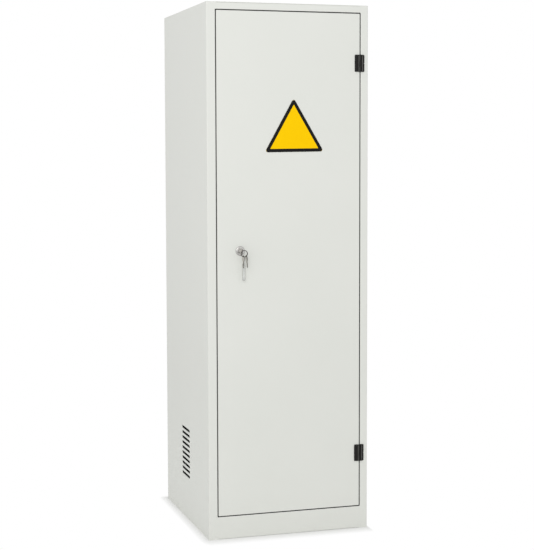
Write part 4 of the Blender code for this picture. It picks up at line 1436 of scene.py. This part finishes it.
top = ring_point(TAG_TURN)
shape = loft([tag_section(top.x, *station) for station in tag_stations(top)])
loft(tag_loop(top), shape, joined=True)
add_piece("clear_tag", shape, "spare_keys", "pale_plastic", "clear_plastic", replaced=["key_tag"])

# %% [markdown]
# ## Hinge screws
# Inside the cabinet, pan head screws hold the hinges. The solid model has them plain. What the eye knows
# them by is the domed head and its cross recess. A texture of a cross would stay flat, so the head is
# skinned from circles, and the cross is carved into it with the same Boolean that made the keys.

# %% Hinge screws
HEAD_RADIUS = 0.004
HEAD_HEIGHT = 0.0025
HEAD_FLANK = 0.35
HEAD_CORE = 0.4
DOME_ARC = (0, 72, 4)
SHANK_RADIUS = 0.002
SCREW_SIDES = 32
CROSS_REACH = 0.0023
CROSS_HALF = 0.0005
CROSS_DEPTH = 0.0014


def round_bar(profile, centre, sides, shape=None):
    """Skins circles of (radius, Y) along an axis that runs along Y, with a flat cap at each end."""
    return loft([on_front(disc(centre, radius, sides), y) for radius, y in profile], shape)


def cross_outline(centre):
    arm = ((CROSS_REACH, -CROSS_HALF), (CROSS_REACH, CROSS_HALF), (CROSS_HALF, CROSS_HALF))
    points = []
    for turn in circle(4):
        points += [centre + Matrix.Rotation(turn, 2) @ Vector(point) for point in arm]
    return points


def make_screw(node, body):
    low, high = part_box(node)
    centre = node_middle(node).xz
    seat = high.y - HEAD_HEIGHT
    profile = [(SHANK_RADIUS, low.y), (SHANK_RADIUS, seat), (HEAD_RADIUS, seat)]
    for turn in turns(*DOME_ARC):
        rise = HEAD_HEIGHT * (HEAD_FLANK + (1 - HEAD_FLANK) * math.sin(turn))
        profile.append((HEAD_RADIUS * (HEAD_CORE + (1 - HEAD_CORE) * math.cos(turn)), seat + rise))
    cross = cross_outline(centre)
    cutter = loft([on_front(cross, high.y - CROSS_DEPTH), on_front(cross, high.y + CROSS_DEPTH)])
    shape = carved(round_bar(profile, centre, SCREW_SIDES), cutter)
    add_piece(node + "_head", shape, body, "zinc_steel", replaced=[node])


for level in ("upper", "lower"):
    for row in ("high", "low"):
        make_screw(level + "_door_screw_" + row, "door")
        make_screw(level + "_frame_screw_" + row, "carcass")

# %% [markdown]
# ## Lock nut
# A flat nut holds the lock from inside. Its six corners are chamfered on both faces, which a plain prism
# lacks. Cutting each corner would take twelve cuts. Instead the nut is skinned round its bore, and near both
# faces the outline is held back from the corners.

# %% Lock nut
NUT_BORE = 0.0098
NUT_CHAMFER = 0.0009
NUT_STEPS = 72
CORNER_SHARE = 0.25
NUT_SIXTH = math.radians(60)


def make_lock_nut():
    low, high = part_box("lock_nut")
    middle = node_middle("lock_nut")
    flat = (high.z - low.z) / 2
    worn_reach = flat + CORNER_SHARE * (half_width("lock_nut") - flat)
    rings = []
    for turn in circle(NUT_STEPS):
        edge = flat / math.cos(turn % NUT_SIXTH - NUT_SIXTH / 2)
        worn = min(edge, worn_reach)
        section = [(NUT_BORE, low.y), (worn, low.y), (edge, low.y + NUT_CHAMFER)]
        section += [(edge, high.y - NUT_CHAMFER), (worn, high.y), (NUT_BORE, high.y)]
        rings.append([Vector((middle.x, y, middle.z)) + around(turn) * radius for radius, y in section])
    add_piece("chamfered_nut", loft(rings, joined=True), "door", "zinc_steel", replaced=["lock_nut"])


make_lock_nut()

# %% [markdown]
# ## Spot welds
# The back is spot welded to the rear edges of the walls, and the two stiffeners to the door. Under the coat
# each weld shows as a low ring round a shallow dent. A bump in the material would need its place written
# down as well, so every weld is a small shape, and all those of one body make one piece.

# %% Spot welds
SPOT_RADIUS = 0.0032
SPOT_RISE = 0.00024
SPOT_SIDES = 16
SPOT_PITCH = 0.13
SPOT_END = 0.05
SPOT_PROFILE = ((1.0, -1.5), (1.0, 0.2), (0.85, 1.0), (0.66, 0.9), (0.5, 0.3), (0.3, 0.15))
BACK_INSET = 0.0125
FLANGE_INSET = 0.0065


def weld_row(shape, x, face, low, high):
    """A row of welds at one x, evenly spread between two heights, that stand on the face at one depth."""
    profile = [(share * SPOT_RADIUS, face + rise * SPOT_RISE) for share, rise in SPOT_PROFILE]
    length = high - low - 2 * SPOT_END
    count = round(length / SPOT_PITCH)
    for step in range(count + 1):
        round_bar(profile, (x, low + SPOT_END + length * step / count), SPOT_SIDES, shape)


back_welds = bmesh.new()
low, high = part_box("left_side_panel")
for side in (-1, 1):
    weld_row(back_welds, side * (abs(low.x) - BACK_INSET), high.y, low.z, high.z)
add_piece("back_spot_welds", back_welds, "carcass", "grey_coat")

door_welds = bmesh.new()
for stiffener in ("middle_stiffener", "hinge_side_stiffener"):
    low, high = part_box(stiffener)
    for x in (low.x + FLANGE_INSET, high.x - FLANGE_INSET):
        weld_row(door_welds, x, low.y + SHEET, low.z, high.z)
add_piece("door_spot_welds", door_welds, "door", "grey_coat")
